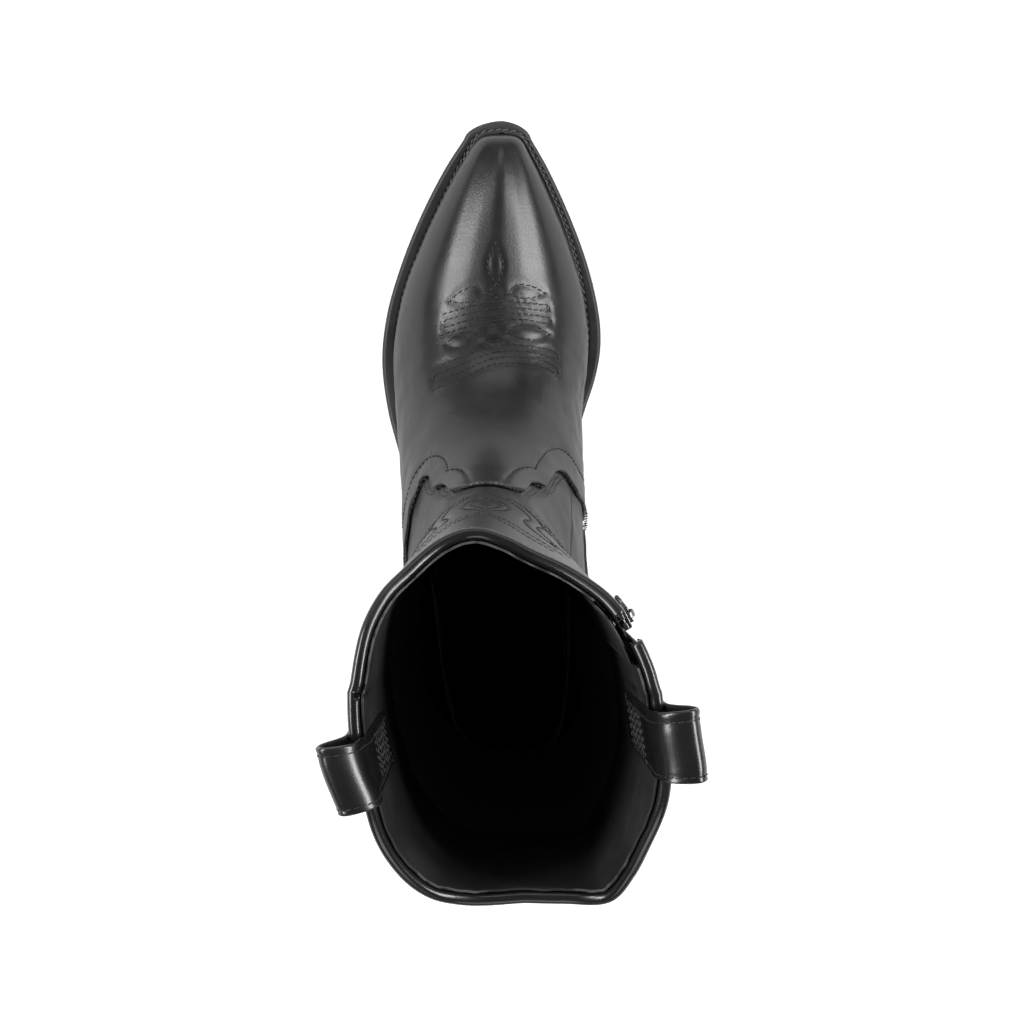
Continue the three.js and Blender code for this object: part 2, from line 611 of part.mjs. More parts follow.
function unpack(geometry) {
  const points = [];
  for (let i = 0; i < geometry.attributes.position.count; i += 1) {
    points.push(new THREE.Vector3().fromBufferAttribute(geometry.attributes.position, i));
  }
  const index = geometry.getIndex().array;
  const faces = [];
  for (let i = 0; i < index.length; i += 3) faces.push([index[i], index[i + 1], index[i + 2]]);
  return [points, faces];
}

function withNailHoles(geometry) {
  let solid = toSolid(geometry);
  for (const spot of NAIL_SPOTS) solid = solid.subtract(nailShape(spot, GAP));
  return fromSolid(solid);
}

// The whole upper as one bag, used to cut the welt to its shape.
function bag(grow) {
  const levels = LEVELS.filter((u) => u <= SHAFT_RING);
  const [rows, columns] = [levels.length - 1, 360 / ANGLE_STEP];
  const points = [];
  const faces = [];
  for (let i = 0; i <= rows; i += 1) {
    for (let j = 0; j < columns; j += 1) points.push(layerPoint(levels[i], ANGLE_STEP * j, grow));
  }
  const middle = points.length;
  points.push(skin(SHAFT_RING, 0).lerp(skin(SHAFT_RING, 180), 0.5));
  for (let j = 0; j < columns; j += 1) {
    const next = (j + 1) % columns;
    for (let i = 0; i < rows; i += 1) {
      const [a, b] = [i * columns, (i + 1) * columns];
      faces.push([a + j, b + j, b + next], [a + j, b + next, a + next]);
    }
    faces.push([rows * columns + j, middle, rows * columns + next]);
  }
  return finish(points, faces);
}

function outsoleBlank(by = 0) {
  return plate(30, 4, 0, LENGTH, 0, (d) => soleTop(d) + by, soleUnder);
}

const outsole = () => withNailHoles(outsoleBlank());

function welt() {
  const strip = plate(26, 4, 0.6, BREAST - 6, 0.6, (d) => soleTop(d) + WELT, (d) => soleTop(d) + GAP);
  const middle = plate(26, 4, 4, BREAST, 14, (d) => soleTop(d) + 2 * WELT, (d) => soleTop(d) - WELT);
  return clearOf(strip, bag(GAP + 0.1), middle, outsoleBlank(GAP));
}

// The inside of the lasted edge, between the outsole and the insole.
const filler = () => layer(anglesBetween(UNDER + 3, 357 - UNDER), () => [1, 7.2], [-0.2, -LEATHER]);

function insole() {
  const end = linesThrough([[0, 11], [14, 10.8], [24, 10.3], [34, 9.6]]);
  const board = layer(anglesBetween(FEATHER + 1, 359 - FEATHER), (v) => [1.7, end(fromBack(v))], BOARDED);
  return withNailHoles(clearOf(board, vampLining(GAP)));
}

function sockLiner() {
  const end = linesThrough([[0, 10.9], [14, 10.7], [24, 10.2], [34, 9.5]]);
  const liner = layer(anglesBetween(FEATHER + 4, 356 - FEATHER), (v) => [2, end(fromBack(v))], SOCKED);
  return clearOf(liner, vampLining(GAP));
}

function shank() {
  const [from, to] = [148 * alongScale, 238 * alongScale];
  const place = (lift) => (s, t) => {
    const d = lerp(from, to, s);
    const middle = lerp(-4, 2, s) * acrossScale;
    return new THREE.Vector3(middle + lerp(-SHANK_WIDE / 2, SHANK_WIDE / 2, t), -d, soleTop(d) + lift);
  };
  return gridSolid(14, 2, place(GAP + 0.2 + SHANK_THICK), place(GAP + 0.2));
}

// The heel tapers downwards and its back slants forwards.
const HEEL_INSET = 0.6;        // from the outsole's edge
const HEEL_TAPER = 0.13;       // share of its width lost at the floor
const HEEL_FRONT_SLANT = -1.5;
const HEEL_BACK_SLANT = 9;

function heelPart(high, low, rows) {
  const from = BREAST - 8;
  const place = (height) => (s, t) => {
    const d = lerp(from, LENGTH - HEEL_INSET, s);
    const left = soleEdge(d, -1) + HEEL_INSET;
    const right = Math.max(left, soleEdge(d, 1) - HEEL_INSET);
    const z = height(d);
    const drop = 1 - z / (soleUnder(d) + 1e-6);
    const inward = 1 - HEEL_TAPER * drop;
    const middle = (left + right) / 2;
    const x = middle + (lerp(left, right, t) - middle) * inward;
    const y = -d + drop * lerp(HEEL_FRONT_SLANT, HEEL_BACK_SLANT, s);
    return new THREE.Vector3(x, y, z);
  };
  const ease = (s) => Math.sin(s * Math.PI / 2);
  return gridSolid(rows, 6, place(high), place(low), ease);
}

function heelBlock() {
  return withNailHoles(heelPart((d) => soleUnder(d) - GAP, () => TOP_LIFT + GAP, 10));
}

// ---- Zip ----
const CHAIN_LOW = SLIDER_Z - ZIP_TRAVEL - 6;
const CHAIN_HIGH = SLIDER_Z + 8;

function zipStrip(rows, [low, high], [near, far], depth) {
  const place = (off) => (s, t) => {
    const u = ringAtHeight(lerp(low, high, s));
    return layerPoint(u, zipSide(u, lerp(near, far, t)), off);
  };
  return gridSolid(rows, 2, place(depth[0]), place(depth[1]));
}

// A row of teeth: a bar whose outer face steps up and down.
function teeth(side) {
  const count = Math.floor((CHAIN_HIGH - CHAIN_LOW) / TOOTH_PITCH);
  const heights = [];
  for (let i = 0; i < count; i += 1) {
    const z = CHAIN_LOW + i * TOOTH_PITCH;
    heights.push([z, -0.7], [z + 0.5, 0], [z + 2.3, 0], [z + 2.8, -0.7]);
  }
  heights.push([CHAIN_LOW + count * TOOTH_PITCH, -0.7]);
  const rows = heights.length - 1;
  const place = (outer) => (s, t) => {
    const [z, drop] = heights[Math.round(s * rows)];
    const u = ringAtHeight(z);
    const across = lerp(ROW_INNER, ROW_OUTER, t) * side;
    return layerPoint(u, zipSide(u, across), outer ? TEETH[0] + drop : TEETH[1]);
  };
  return gridSolid(rows, 1, place(true), place(false));
}

// The slider's own frame: across the zip, outwards, and up along it.
function zipFrame() {
  const origin = zipHigh.clone();
  const up = origin.clone().sub(zipLow).normalize();
  const out = skinNormal(ringAtHeight(SLIDER_Z - ZIP_TRAVEL / 2), ZIP_ANGLE);
  out.addScaledVector(up, -out.dot(up)).normalize();
  const across = out.clone().cross(up).normalize();
  return { origin, across, out, up };
}
const zip = zipFrame();

function placeInZip(mesh) {
  const turn = new THREE.Matrix4().makeBasis(zip.across, zip.out, zip.up);
  mesh.quaternion.setFromRotationMatrix(turn);
  mesh.position.copy(zip.origin);
  return mesh;
}

function box(across, out, up) {
  const size = [across[1] - across[0], out[1] - out[0], up[1] - up[0]];
  const geometry = new THREE.BoxGeometry(...size);
  geometry.translate((across[0] + across[1]) / 2, (out[0] + out[1]) / 2, (up[0] + up[1]) / 2);
  return toSolid(geometry);
}

const PIVOT_OUT = 1.25;        // height of the puller's bar over the zip's surface
function slider() {
  const plateHalf = 4.5;
  const inner = TAPE[1] - 0.6;
  const parts = [
    box([-plateHalf, plateHalf], [-0.8, 0.3], [-5, 5]),
    box([-plateHalf, plateHalf], [inner - 1, inner], [-5, 5]),
    box([-0.35, 0.35], [inner - 0.5, 0], [2, 5]),
    box([-1.1, 1.1], [0.2, 3.4], [2.8, 4]),
    box([-1.1, 1.1], [0.2, 3.4], [-4, -2.8]),
    box([-1.1, 1.1], [2.4, 3.4], [-4, 4]),
  ];
  for (const side of [-1, 1]) {
    const flange = [side * 3.8, side * plateHalf].sort((a, b) => a - b);
    parts.push(box(flange, [-2, -0.5], [-5, 5]));
  }
  return fromSolid(parts.reduce((sum, part) => sum.add(part)));
}

function puller() {
  const bar = 0.6;
  const outline = new THREE.Shape();
  outline.moveTo(-3.4, bar);
  outline.lineTo(3.4, bar);
  outline.lineTo(3.4, -8);
  outline.lineTo(4.2, -12);
  outline.lineTo(4.2, -24);
  outline.absarc(0, -24, 4.2, 0, -Math.PI, true);
  outline.lineTo(-4.2, -12);
  outline.lineTo(-3.4, -8);
  outline.closePath();
  const window = new THREE.Path();
  window.moveTo(-2.1, -bar);
  window.lineTo(-2.1, -6.5);
  window.lineTo(2.1, -6.5);
  window.lineTo(2.1, -bar);
  window.closePath();
  outline.holes.push(window);
  const geometry = new THREE.ExtrudeGeometry(outline,
    { depth: 2 * bar, bevelEnabled: false, curveSegments: 8 });
  geometry.translate(0, 0, -bar);
  geometry.rotateX(Math.PI / 2);
  geometry.translate(0, PIVOT_OUT, 0);
  return finish(...unpack(mergeVertices(stripped(geometry), 1e-4)));
}

function stripped(geometry) {
  const plain = new THREE.BufferGeometry();
  plain.setAttribute('position', geometry.attributes.position);
  return plain;
}

// ---- Assembly ----
add('outsole', outsole(), 0x121212, 0.55);
add('welt', welt(), 0x141414, 0.5);
add('bottom_filler', filler(), 0x8a6a45, 0.95);
add('shank', shank(), 0x8c8f93, 0.35, 0.9);
add('insole_board', insole(), 0xa08560, 0.9);
add('sock_liner', sockLiner(), 0x1a1a1a, 0.9);
add('heel_block', heelBlock(), 0x131212, 0.45);
add('heel_top_lift', heelPart(() => TOP_LIFT, () => 0, 10), 0x0d0d0d, 0.75);
NAIL_SPOTS.forEach((spot, i) => {
  add(`heel_nail_${i + 1}`, fromSolid(nailShape(spot, 0)), 0x9a9a9a, 0.4, 0.9);
});

const covers = [vamp(GAP), counterCover(GAP)];
add('vamp', vamp(), black, 0.35);
add('toe_puff', clearOf(toePuff(), covers[0]), 0xcfc8b8, 0.8);
add('vamp_interlining', clearOf(interlining(), covers[0], vampLining(GAP)), 0xb9b2a2, 0.9);
add('vamp_lining', vampLining(), 0x141414, 0.95);
add('counter_cover', counterCover(), black, 0.35);
add('counter_stiffener', clearOf(counterStiffener(), covers[1]), 0xcfc8b8, 0.8);
add('shaft_front_panel', clearOf(frontPanel(), covers[0], vampLining(GAP)), black, 0.38);
add('shaft_back_panel', clearOf(backPanel(), ...covers, vampLining(GAP)), black, 0.38);
add('side_seam_piping', piping(), 0x090909, 0.4);
add('shaft_lining_front', liningHalf('front'), 0x151515, 0.95);
const backLining = clearOf(liningHalf('back'), covers[1], counterStiffener(GAP), backPanel(GAP));
add('shaft_lining_back', backLining, 0x151515, 0.95);
const strapRoom = Object.values(STRAP_ANGLES).map((v) => pullStrap(v, GAP));
add('facing', clearOf(facing(), ...strapRoom), 0x101010, 0.5);
add('topline_binding', binding(), 0x080808, 0.35);
add('pull_strap_lateral', pullStrap(STRAP_ANGLES.lateral), black, 0.4);
add('pull_strap_medial', pullStrap(STRAP_ANGLES.medial), black, 0.4);

for (const [side, name] of [[-1, 'front'], [1, 'rear']]) {
  const stretch = [CHAIN_LOW - 6, CHAIN_HIGH + 3.4];
  add(`zip_tape_${name}`, zipStrip(5, stretch, [side * ROW_INNER, side * TAPE_HALF], TAPE), 0x101010, 0.9);
  add(`zip_teeth_${name}`, teeth(side), 0x0c0c0c, 0.45);
  const topStop = zipStrip(1, [CHAIN_HIGH + 0.4, CHAIN_HIGH + 3], [side * ROW_INNER, side * ROW_OUTER],
    TEETH);
  add(`zip_top_stop_${name}`, topStop, 0x77787a, 0.35, 0.9);
}
const bottomStop = zipStrip(1, [CHAIN_LOW - 4, CHAIN_LOW - 0.4], [-ROW_OUTER, ROW_OUTER], TEETH);
add('zip_bottom_stop', bottomStop, 0x77787a, 0.35, 0.9);
add('zip_guard', zipStrip(5, [CHAIN_LOW - 8, ZIP_TOP - 4], [-TAPE_HALF, TAPE_HALF], GUARD), 0x121212, 0.8);
placeInZip(add('zip_slider', slider(), 0x707174, 0.3, 0.9));
placeInZip(add('zip_puller', puller(), 0x707174, 0.3, 0.9));

// The boot stands on z = 0 with its middle over the origin.
boot.updateMatrixWorld(true);
const extent = new THREE.Box3().setFromObject(boot, true);
boot.position.set(-(extent.min.x + extent.max.x) / 2, -(extent.min.y + extent.max.y) / 2, -extent.min.z);

export default boot;
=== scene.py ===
"""Cowboy boot for the left foot: leather, stitching, zip, sole and stage over the CAD frame."""
import json
import math

import bmesh
import bpy
import numpy as np
from bpy.props import FloatProperty, FloatVectorProperty, IntProperty, PointerProperty
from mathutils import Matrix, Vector, kdtree
from mathutils.bvhtree import BVHTree


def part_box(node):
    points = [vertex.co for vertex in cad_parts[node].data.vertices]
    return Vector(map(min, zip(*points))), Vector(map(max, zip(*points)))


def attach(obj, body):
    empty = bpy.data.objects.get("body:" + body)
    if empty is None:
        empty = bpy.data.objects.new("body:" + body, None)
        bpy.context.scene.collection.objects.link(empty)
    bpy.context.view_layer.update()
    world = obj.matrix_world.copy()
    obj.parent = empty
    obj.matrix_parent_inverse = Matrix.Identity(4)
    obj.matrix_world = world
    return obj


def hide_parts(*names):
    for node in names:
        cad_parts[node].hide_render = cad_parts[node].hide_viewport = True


bl_info = {
    "name": "Cowboy Boot",
    "version": (1, 0, 0),
    "blender": (4, 5, 0),
    "location": "3D View > Sidebar > Boot",
    "description": "Builds the leather, stitching, zip and sole of a western boot over its CAD frame",
    "category": "Object",
}

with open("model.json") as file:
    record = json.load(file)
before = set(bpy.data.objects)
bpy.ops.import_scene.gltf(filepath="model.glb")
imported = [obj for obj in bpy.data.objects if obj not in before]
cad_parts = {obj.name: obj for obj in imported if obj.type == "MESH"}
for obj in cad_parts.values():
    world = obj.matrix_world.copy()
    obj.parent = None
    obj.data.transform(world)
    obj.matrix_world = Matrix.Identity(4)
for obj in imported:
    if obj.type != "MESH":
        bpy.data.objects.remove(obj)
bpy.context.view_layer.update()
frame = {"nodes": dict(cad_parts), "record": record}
MM = 0.001


def box_mm(node):
    """Lowest and highest corner of a CAD node, in millimetres."""
    low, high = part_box(node)
    return np.array(low) / MM, np.array(high) / MM


def mount_mm(name):
    """Where a mount is, in millimetres."""
    found = [m for m in frame["record"]["mounts"] if m["name"] == name]
    return np.array(found[0]["pos_m"]) / MM


# ---- Sizes shared with the CAD frame, in millimetres ----
SOLE_LOW, SOLE_HIGH = box_mm("outsole")
LENGTH = SOLE_HIGH[1] - SOLE_LOW[1]
TOE_Y = SOLE_HIGH[1]
HEEL_CENTRE = 4.0
SHIFT_X = mount_mm("heel_ground")[0] - HEEL_CENTRE
BINDING_CROWN = 1.2
HEIGHT = box_mm("topline_binding")[1][2] - BINDING_CROWN
ANKLE = 168.0
ALONG = LENGTH / 290.0
ACROSS = (SOLE_HIGH[0] - SOLE_LOW[0]) / 97.0
HEEL_BREAST, SEAT_SLOPE, TOE_SPRING = 36.0, 0.14, 9.5
FRONT_DIP, BACK_DIP = 28.0, 31.0
SOLE, WELT, TOP_LIFT = 4.5, 3.2, 6.0
LEATHER, PANEL = 1.6, 1.4
MIDDLE_OUT = -1.9
LINING_OUT = -3.6
FACING_OUT, FACING_IN = -5.1, -6.1
ZIP_ANGLE, SLOT_HALF, SLIDER_DROP, ZIP_TRAVEL = 62.0, 5.5, 26.0, 144.0
FACING_LOW = 262.0
SHAFT_RING, SHAFT_STEPS = 15, 6

# Each ring: front point x, d, z; back point x, d, height over the sole; widest x on each side;
# where between front and back it is widest; roundness of its front and back halves.
FOOT_RINGS = (
    (0, 5.8, 0, 0, 5.8, 0, 0, 0, 0.5, 2, 2),
    (0, 8, 28, 0, 7.5, 0.4, -9.5, 7.7, 0.56, 2.3, 3.5),
    (-0.4, 16, 34, 0, 16, 0.4, -15.6, 12.6, 0.62, 2.2, 4.5),
    (-1, 30, 40, 0, 30, 0.4, -23.4, 19.4, 0.66, 2.1, 5.5),
    (-2, 52, 46.5, -1, 52, 0.4, -34, 28.8, 0.7, 2.1, 6),
    (-3, 78, 54, -3, 77, 0.4, -43.6, 36.3, 0.72, 2.1, 6),
    (-4, 100, 64, -4, 103, 0.4, -47.6, 38.2, 0.74, 2.1, 6),
    (-5, 118, 77, -4, 130, 0.4, -46.5, 34.8, 0.74, 2.1, 6),
    (-6, 133, 93, -3, 165, 0.7, -43.8, 35.6, 0.7, 2.1, 5.5),
    (-6.6, 142, 110, 0, 208, 0.9, -42.2, 36.8, 0.62, 2.1, 4.6),
    (-7, 146.5, 124, 2.6, 255, 0.9, -41.4, 37, 0.58, 2.05, 3.8),
    (-7.2, 147.6, 132, 3.6, 277, 1.6, -40.8, 36.6, 0.57, 2, 3.2),
    (-7.4, 148.2, 139, 4, 285.6, 12, -40.4, 36, 0.57, 2, 2.5),
    (-7.5, 148.7, 147, 4, 286, 38, -40.6, 35.8, 0.57, 2, 2.3),
    (-7.6, 149.1, 156, 4, 272, 74, -41.4, 35.8, 0.55, 2, 2.3),
)
TOP_RING = (-10.5, 149.4, 0, 5.3, 290.9, 0, -56.1, 53.1, 0.38, 1.76, 2.78)
ANKLE_RING = (-7.6, 149.5, 0, 4, 260, 0, -42.3, 36.6, 0.53, 2, 2.3)


def curve_through(points):
    """A smooth curve through points (x, y), straight beyond its ends."""
    xs = np.array([p[0] for p in points], float)
    ys = np.array([p[1] for p in points], float)
    slope = np.empty_like(ys)
    slope[1:-1] = (ys[2:] - ys[:-2]) / (xs[2:] - xs[:-2])
    slope[0] = (ys[1] - ys[0]) / (xs[1] - xs[0])
    slope[-1] = (ys[-1] - ys[-2]) / (xs[-1] - xs[-2])

    def at(x):
        x = np.asarray(x, float)
        k = np.clip(np.searchsorted(xs, x) - 1, 0, len(xs) - 2)
        w = xs[k + 1] - xs[k]
        t = (x - xs[k]) / w
        inside = (
            ys[k] + (ys[k + 1] - ys[k]) * t * t * (3 - 2 * t)
            + t * (1 - t) ** 2 * w * slope[k]
            + t * t * (t - 1) * w * slope[k + 1]
        )
        low = ys[0] + slope[0] * (x - xs[0])
        high = ys[-1] + slope[-1] * (x - xs[-1])
        return np.where(x <= xs[0], low, np.where(x >= xs[-1], high, inside))

    return at


def lines_through(points):
    """Straight lines between points (x, y)."""
    xs, ys = [p[0] for p in points], [p[1] for p in points]
    return lambda x: np.interp(x, xs, ys)


def lerp(a, b, t):
    return a + (b - a) * t


# ---- The sole's profile and outline ----
FLAT_FROM, FLAT_TO, BREAST = 88 * ALONG, 108 * ALONG, 225 * ALONG


def sole_under(d):
    d = np.asarray(d, float)
    spring = TOE_SPRING * ((FLAT_FROM - d) / FLAT_FROM) ** 2
    w = BREAST - FLAT_TO
    t = (d - FLAT_TO) / w
    waist = t * t * (3 - 2 * t) * HEEL_BREAST + t * t * (t - 1) * SEAT_SLOPE * w
    seat = HEEL_BREAST + (d - BREAST) * SEAT_SLOPE
    return np.where(d < FLAT_FROM, spring, np.where(d <= FLAT_TO, 0, np.where(d < BREAST, waist, seat)))


def sole_top(d):
    return sole_under(d) + SOLE


OUTER_EDGE = curve_through([(7.5, -16), (22, -25.3), (43, -36), (64, -44.4), (85, -50.5), (106, -52.8),
                            (128, -50.2), (149, -44.5), (178, -37), (208, -31), (238, -29.6), (262, -26.5)])
INNER_EDGE = curve_through([(7.5, 13), (22, 21.3), (43, 31), (64, 38.7), (85, 43.6), (100, 44.4),
                            (114, 42), (128, 37.4), (149, 31.5), (178, 29), (208, 32.5), (238, 36.8),
                            (262, 35.5)])
TOE_ROUND, HEEL_ROUND = 7.5, 28.0


TOE_SHAPE, HEEL_SHAPE = 1.7, 2.1


def sole_edge(d, side):
    """The outline's x at a distance behind the toe tip, on the outer (-1) or inner (1) side."""
    edge = OUTER_EDGE if side < 0 else INNER_EDGE
    d = np.asarray(d, float) / ALONG
    toe = np.clip(1 - d / TOE_ROUND, 0, 1)
    heel_start = 290 - HEEL_ROUND
    heel = np.clip((d - heel_start) / HEEL_ROUND, 0, 1)
    at_toe = edge(TOE_ROUND) * (1 - toe ** TOE_SHAPE) ** (1 / TOE_SHAPE)
    at_heel = lerp(HEEL_CENTRE, edge(heel_start), (1 - heel ** HEEL_SHAPE) ** (1 / HEEL_SHAPE))
    return ACROSS * np.where(d < TOE_ROUND, at_toe, np.where(d > heel_start, at_heel, edge(d)))


# ---- The upper's outer surface ----
def make_rings():
    """Key rings in the CAD's own order, both end points as x, y, z."""
    def sized(r, front_z, back_z):
        return [r[0] * ACROSS, -r[1] * ALONG, front_z, r[3] * ACROSS, -r[4] * ALONG, back_z,
                r[6] * ACROSS, r[7] * ACROSS, r[8], r[9], r[10]]
    rings = []
    for i, r in enumerate(FOOT_RINGS):
        floor = float(sole_top(r[4] * ALONG))
        rings.append(sized(r, floor + 7, floor + 7) if i == 0 else sized(r, r[2], floor + r[5]))
    low, high = np.array(sized(ANKLE_RING, ANKLE, ANKLE)), np.array(sized(TOP_RING, HEIGHT, HEIGHT))
    rings += [lerp(low, high, i / SHAFT_STEPS) for i in range(SHAFT_STEPS + 1)]
    return np.array(rings, float)


RINGS = make_rings()
LAST_RING = len(RINGS) - 1
RING_RISE = (HEIGHT - ANKLE) / SHAFT_STEPS


def ring_at_height(z):
    return SHAFT_RING + (z - ANKLE) / RING_RISE


def rings_at(u):
    u = np.asarray(u, float)
    k = np.clip(np.floor(u).astype(int), 0, LAST_RING - 1)
    t = (u - k)[:, None]
    a, b = RINGS[k], RINGS[k + 1]
    before, after = RINGS[np.maximum(k - 1, 0)], RINGS[np.minimum(k + 2, LAST_RING)]
    start = np.where((k == 0)[:, None], b - a, (b - before) / 2)
    end = np.where((k + 1 == SHAFT_RING)[:, None], after - b, (after - a) / 2)
    smooth = ((2 * t**3 - 3 * t**2 + 1) * a + (t**3 - 2 * t**2 + t) * start
              + (3 * t**2 - 2 * t**3) * b + (t**3 - t**2) * end)
    return np.where((k >= SHAFT_RING)[:, None], a + (b - a) * t, smooth)


# The soft top edge isn't an even curve: how far it waves outwards at an angle from the front.
TOP_WAVE = curve_through([(-180, -1.2), (-160, 2), (-148, 3.3), (-130, 2.8), (-118, 2.4), (-108, 1.6),
                          (-93, 2.2), (-84, 0.1), (-74, -0.4), (-60, 0.4), (-48, 0.6), (-36, -0.1),
                          (-19, 1.6),
                          (-10, 2.1), (0, 1.3), (10, -0.4), (23, -2.1), (38, -0.1), (52, 1.6), (68, 0.1),
                          (78, -0.8), (88, -1.2), (104, 1.4), (124, -1), (138, 0.4), (153, 3.6), (170, -0.2),
                          (180, -1.2)])


def skin(u, v):
    """Points of the surface: ring number u, angle v in degrees from the front, + towards the inner side."""
    u, v = np.broadcast_arrays(np.asarray(u, float), np.asarray(v, float))
    shape = u.shape
    r = rings_at(u.ravel())
    wave = TOP_WAVE(wrap(v.ravel())) * np.clip((u.ravel() - SHAFT_RING) / SHAFT_STEPS, 0, 1.2)
    v = np.radians(v.ravel())
    c, s = np.cos(v), np.sin(v)
    power = 2 / np.where(c >= 0, r[:, 9], r[:, 10])
    along, across = np.abs(c) ** power, np.sign(s) * np.abs(s) ** power
    end_x = np.where(c >= 0, r[:, 0], r[:, 3])
    reach = np.where(c >= 0, r[:, 8] * (1 - along), lerp(r[:, 8], 1, along))
    x = lerp((r[:, 6] + r[:, 7]) / 2, end_x, along) + across * (r[:, 7] - r[:, 6]) / 2
    y = lerp(r[:, 1], r[:, 4], reach)
    z = lerp(r[:, 2], r[:, 5], reach)
    return np.stack([x + wave * s, y + wave * c, z], 1).reshape(shape + (3,))


def skin_normal(u, v):
    u, v = np.broadcast_arrays(np.asarray(u, float), np.asarray(v, float))
    du = np.clip(u / 2, 1e-4, 0.05)
    along_u = skin(u + du, v) - skin(u - du, v)
    along_v = skin(u, v + 1.5) - skin(u, v - 1.5)
    n = np.cross(along_u, along_v)
    n /= np.maximum(np.linalg.norm(n, axis=-1, keepdims=True), 1e-9)
    return np.where((u < 1e-3)[..., None], np.array([0.0, 1.0, 0.0]), n)


def on_skin(u, v, off=0.0):
    return skin(u, v) + skin_normal(u, v) * np.asarray(off, float)[..., None]


def degrees_for(mm, u, v):
    """Millimetres round the surface turned into degrees."""
    step = np.linalg.norm(skin(u, v + 0.5) - skin(u, v - 0.5), axis=-1)
    return mm / step


def wrap(v):
    return (np.asarray(v, float) + 180) % 360 - 180


def topline(v):
    v = wrap(v)
    return HEIGHT - np.where(np.abs(v) > 90, BACK_DIP, FRONT_DIP) * np.cos(np.radians(v)) ** 2


def moved(u, v, sideways, direction):
    """Ring and angle of points moved by a distance along a direction that lies in the surface."""
    u, v = np.asarray(u, float), np.asarray(v, float)
    su = (skin(u + 0.02, v) - skin(u - 0.02, v)) / 0.04
    sv = (skin(u, v + 0.5) - skin(u, v - 0.5))
    step = direction * np.asarray(sideways)[..., None]
    a, b, c = (su * su).sum(-1), (su * sv).sum(-1), (sv * sv).sum(-1)
    p, q = (su * step).sum(-1), (sv * step).sum(-1)
    det = a * c - b * b
    return u + (p * c - q * b) / det, v + (q * a - p * b) / det


def beside(u, v, mm):
    """A path on the surface moved sideways, + to the left of its direction seen from outside."""
    p = skin(u, v)
    along = np.gradient(p, axis=0)
    along /= np.maximum(np.linalg.norm(along, axis=-1, keepdims=True), 1e-9)
    left = np.cross(skin_normal(u, v), along)
    return moved(u, v, np.full(len(p), mm), left)


def to_row(p):
    """Millimetres in the boot's own frame to metres in the row frame."""
    return (np.asarray(p) + np.array([SHIFT_X, TOE_Y, 0.0])) * MM


# ---- Smooth noise, for creases and soft unevenness ----
CELL_MIX = np.array([374761393, 668265263, 2147483647])
LAST_MIX, WORD = 1274126177, 0xFFFFFFFF


def noise(p, size, seed):
    """Values from -1 to 1 that change over about size millimetres."""
    q = np.asarray(p, float) / size + seed * 17.31
    cell = np.floor(q).astype(np.int64)
    f = q - cell
    f = f * f * (3 - 2 * f)
    total = 0.0
    for corner in range(8):
        o = np.array([corner & 1, corner >> 1 & 1, corner >> 2 & 1])
        c = cell + o
        h = (c @ CELL_MIX + seed * LAST_MIX) & WORD
        h = ((h ^ (h >> 13)) * LAST_MIX) & WORD
        value = ((h ^ (h >> 16)) & 0xFFFF) / 32767.5 - 1
        weight = np.prod(np.where(o == 1, f, 1 - f), axis=-1)
        total = total + value * weight
    return total


def smoothstep(x, low, high):
    t = np.clip((x - low) / (high - low), 0, 1)
    return t * t * (3 - 2 * t)


# ---- Meshes ----
def new_object(name, points, faces, material, body="boot", slot=None, replaces=(), smooth=True):
    """A finished piece from points in the boot's frame; it rides on its body and stands for CAD nodes."""
    mesh = bpy.data.meshes.new(name)
    mesh.from_pydata([tuple(p) for p in to_row(points)], [], faces)
    bm = bmesh.new()
    bm.from_mesh(mesh)
    bmesh.ops.remove_doubles(bm, verts=bm.verts, dist=1e-7)
    bmesh.ops.dissolve_degenerate(bm, edges=bm.edges, dist=1e-8)
    if bm.calc_volume(signed=True) < 0:
        bmesh.ops.reverse_faces(bm, faces=bm.faces)
    bm.to_mesh(mesh)
    bm.free()
    if smooth:
        mesh.shade_smooth()
    obj = bpy.data.objects.new(name, mesh)
    bpy.context.scene.collection.objects.link(obj)
    mesh.materials.append(material)
    return settle(obj, body, replaces)


def settle(obj, body="boot", replaces=()):
    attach(obj, body)
    if replaces:
        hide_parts(*replaces)
    return obj


def grid_faces(rows, columns, start=0, flip=False, around=False):
    faces = []
    last = columns if around else columns - 1
    for i in range(rows - 1):
        for j in range(last):
            k = (j + 1) % columns
            a, b = start + i * columns + j, start + (i + 1) * columns + j
            c, d = start + (i + 1) * columns + k, start + i * columns + k
            faces.append((a, d, c, b) if flip else (a, b, c, d))
    return faces


def closed_tube(rows, columns):
    """Faces of a tube of rings, with a cap on its first and its last ring."""
    faces = grid_faces(rows, columns, 0, False, True)
    faces.append(tuple(range(columns)))
    faces.append(tuple(reversed(range((rows - 1) * columns, rows * columns))))
    return faces


def sweep(name, frames, profile, material, **kwargs):
    """A closed profile carried along frames (centre, sideways, outwards)."""
    centres, sides, outs = frames
    ring = np.array([[centres[i] + sides[i] * a + outs[i] * b for a, b in profile]
                     for i in range(len(centres))])
    return new_object(name, ring.reshape(-1, 3), closed_tube(*ring.shape[:2]), material, **kwargs)


# ---- Seam and stitch paths; each is points on the surface, their normals and a kind ----
STITCHES = []


def closest_groove(points, kinds, width):
    """How deep the surface is pulled in at each point by the stitches of some kinds."""
    rows = [s for s in STITCHES if s["kind"] in kinds]
    if not rows:
        return np.zeros(len(points))
    fine = np.concatenate([resample(s["points"], 0.6) for s in rows])
    tree = kdtree.KDTree(len(fine))
    for i, p in enumerate(fine):
        tree.insert(p, i)
    tree.balance()
    gap = np.array([tree.find(p)[2] for p in points])
    return np.exp(-(gap / width) ** 2)


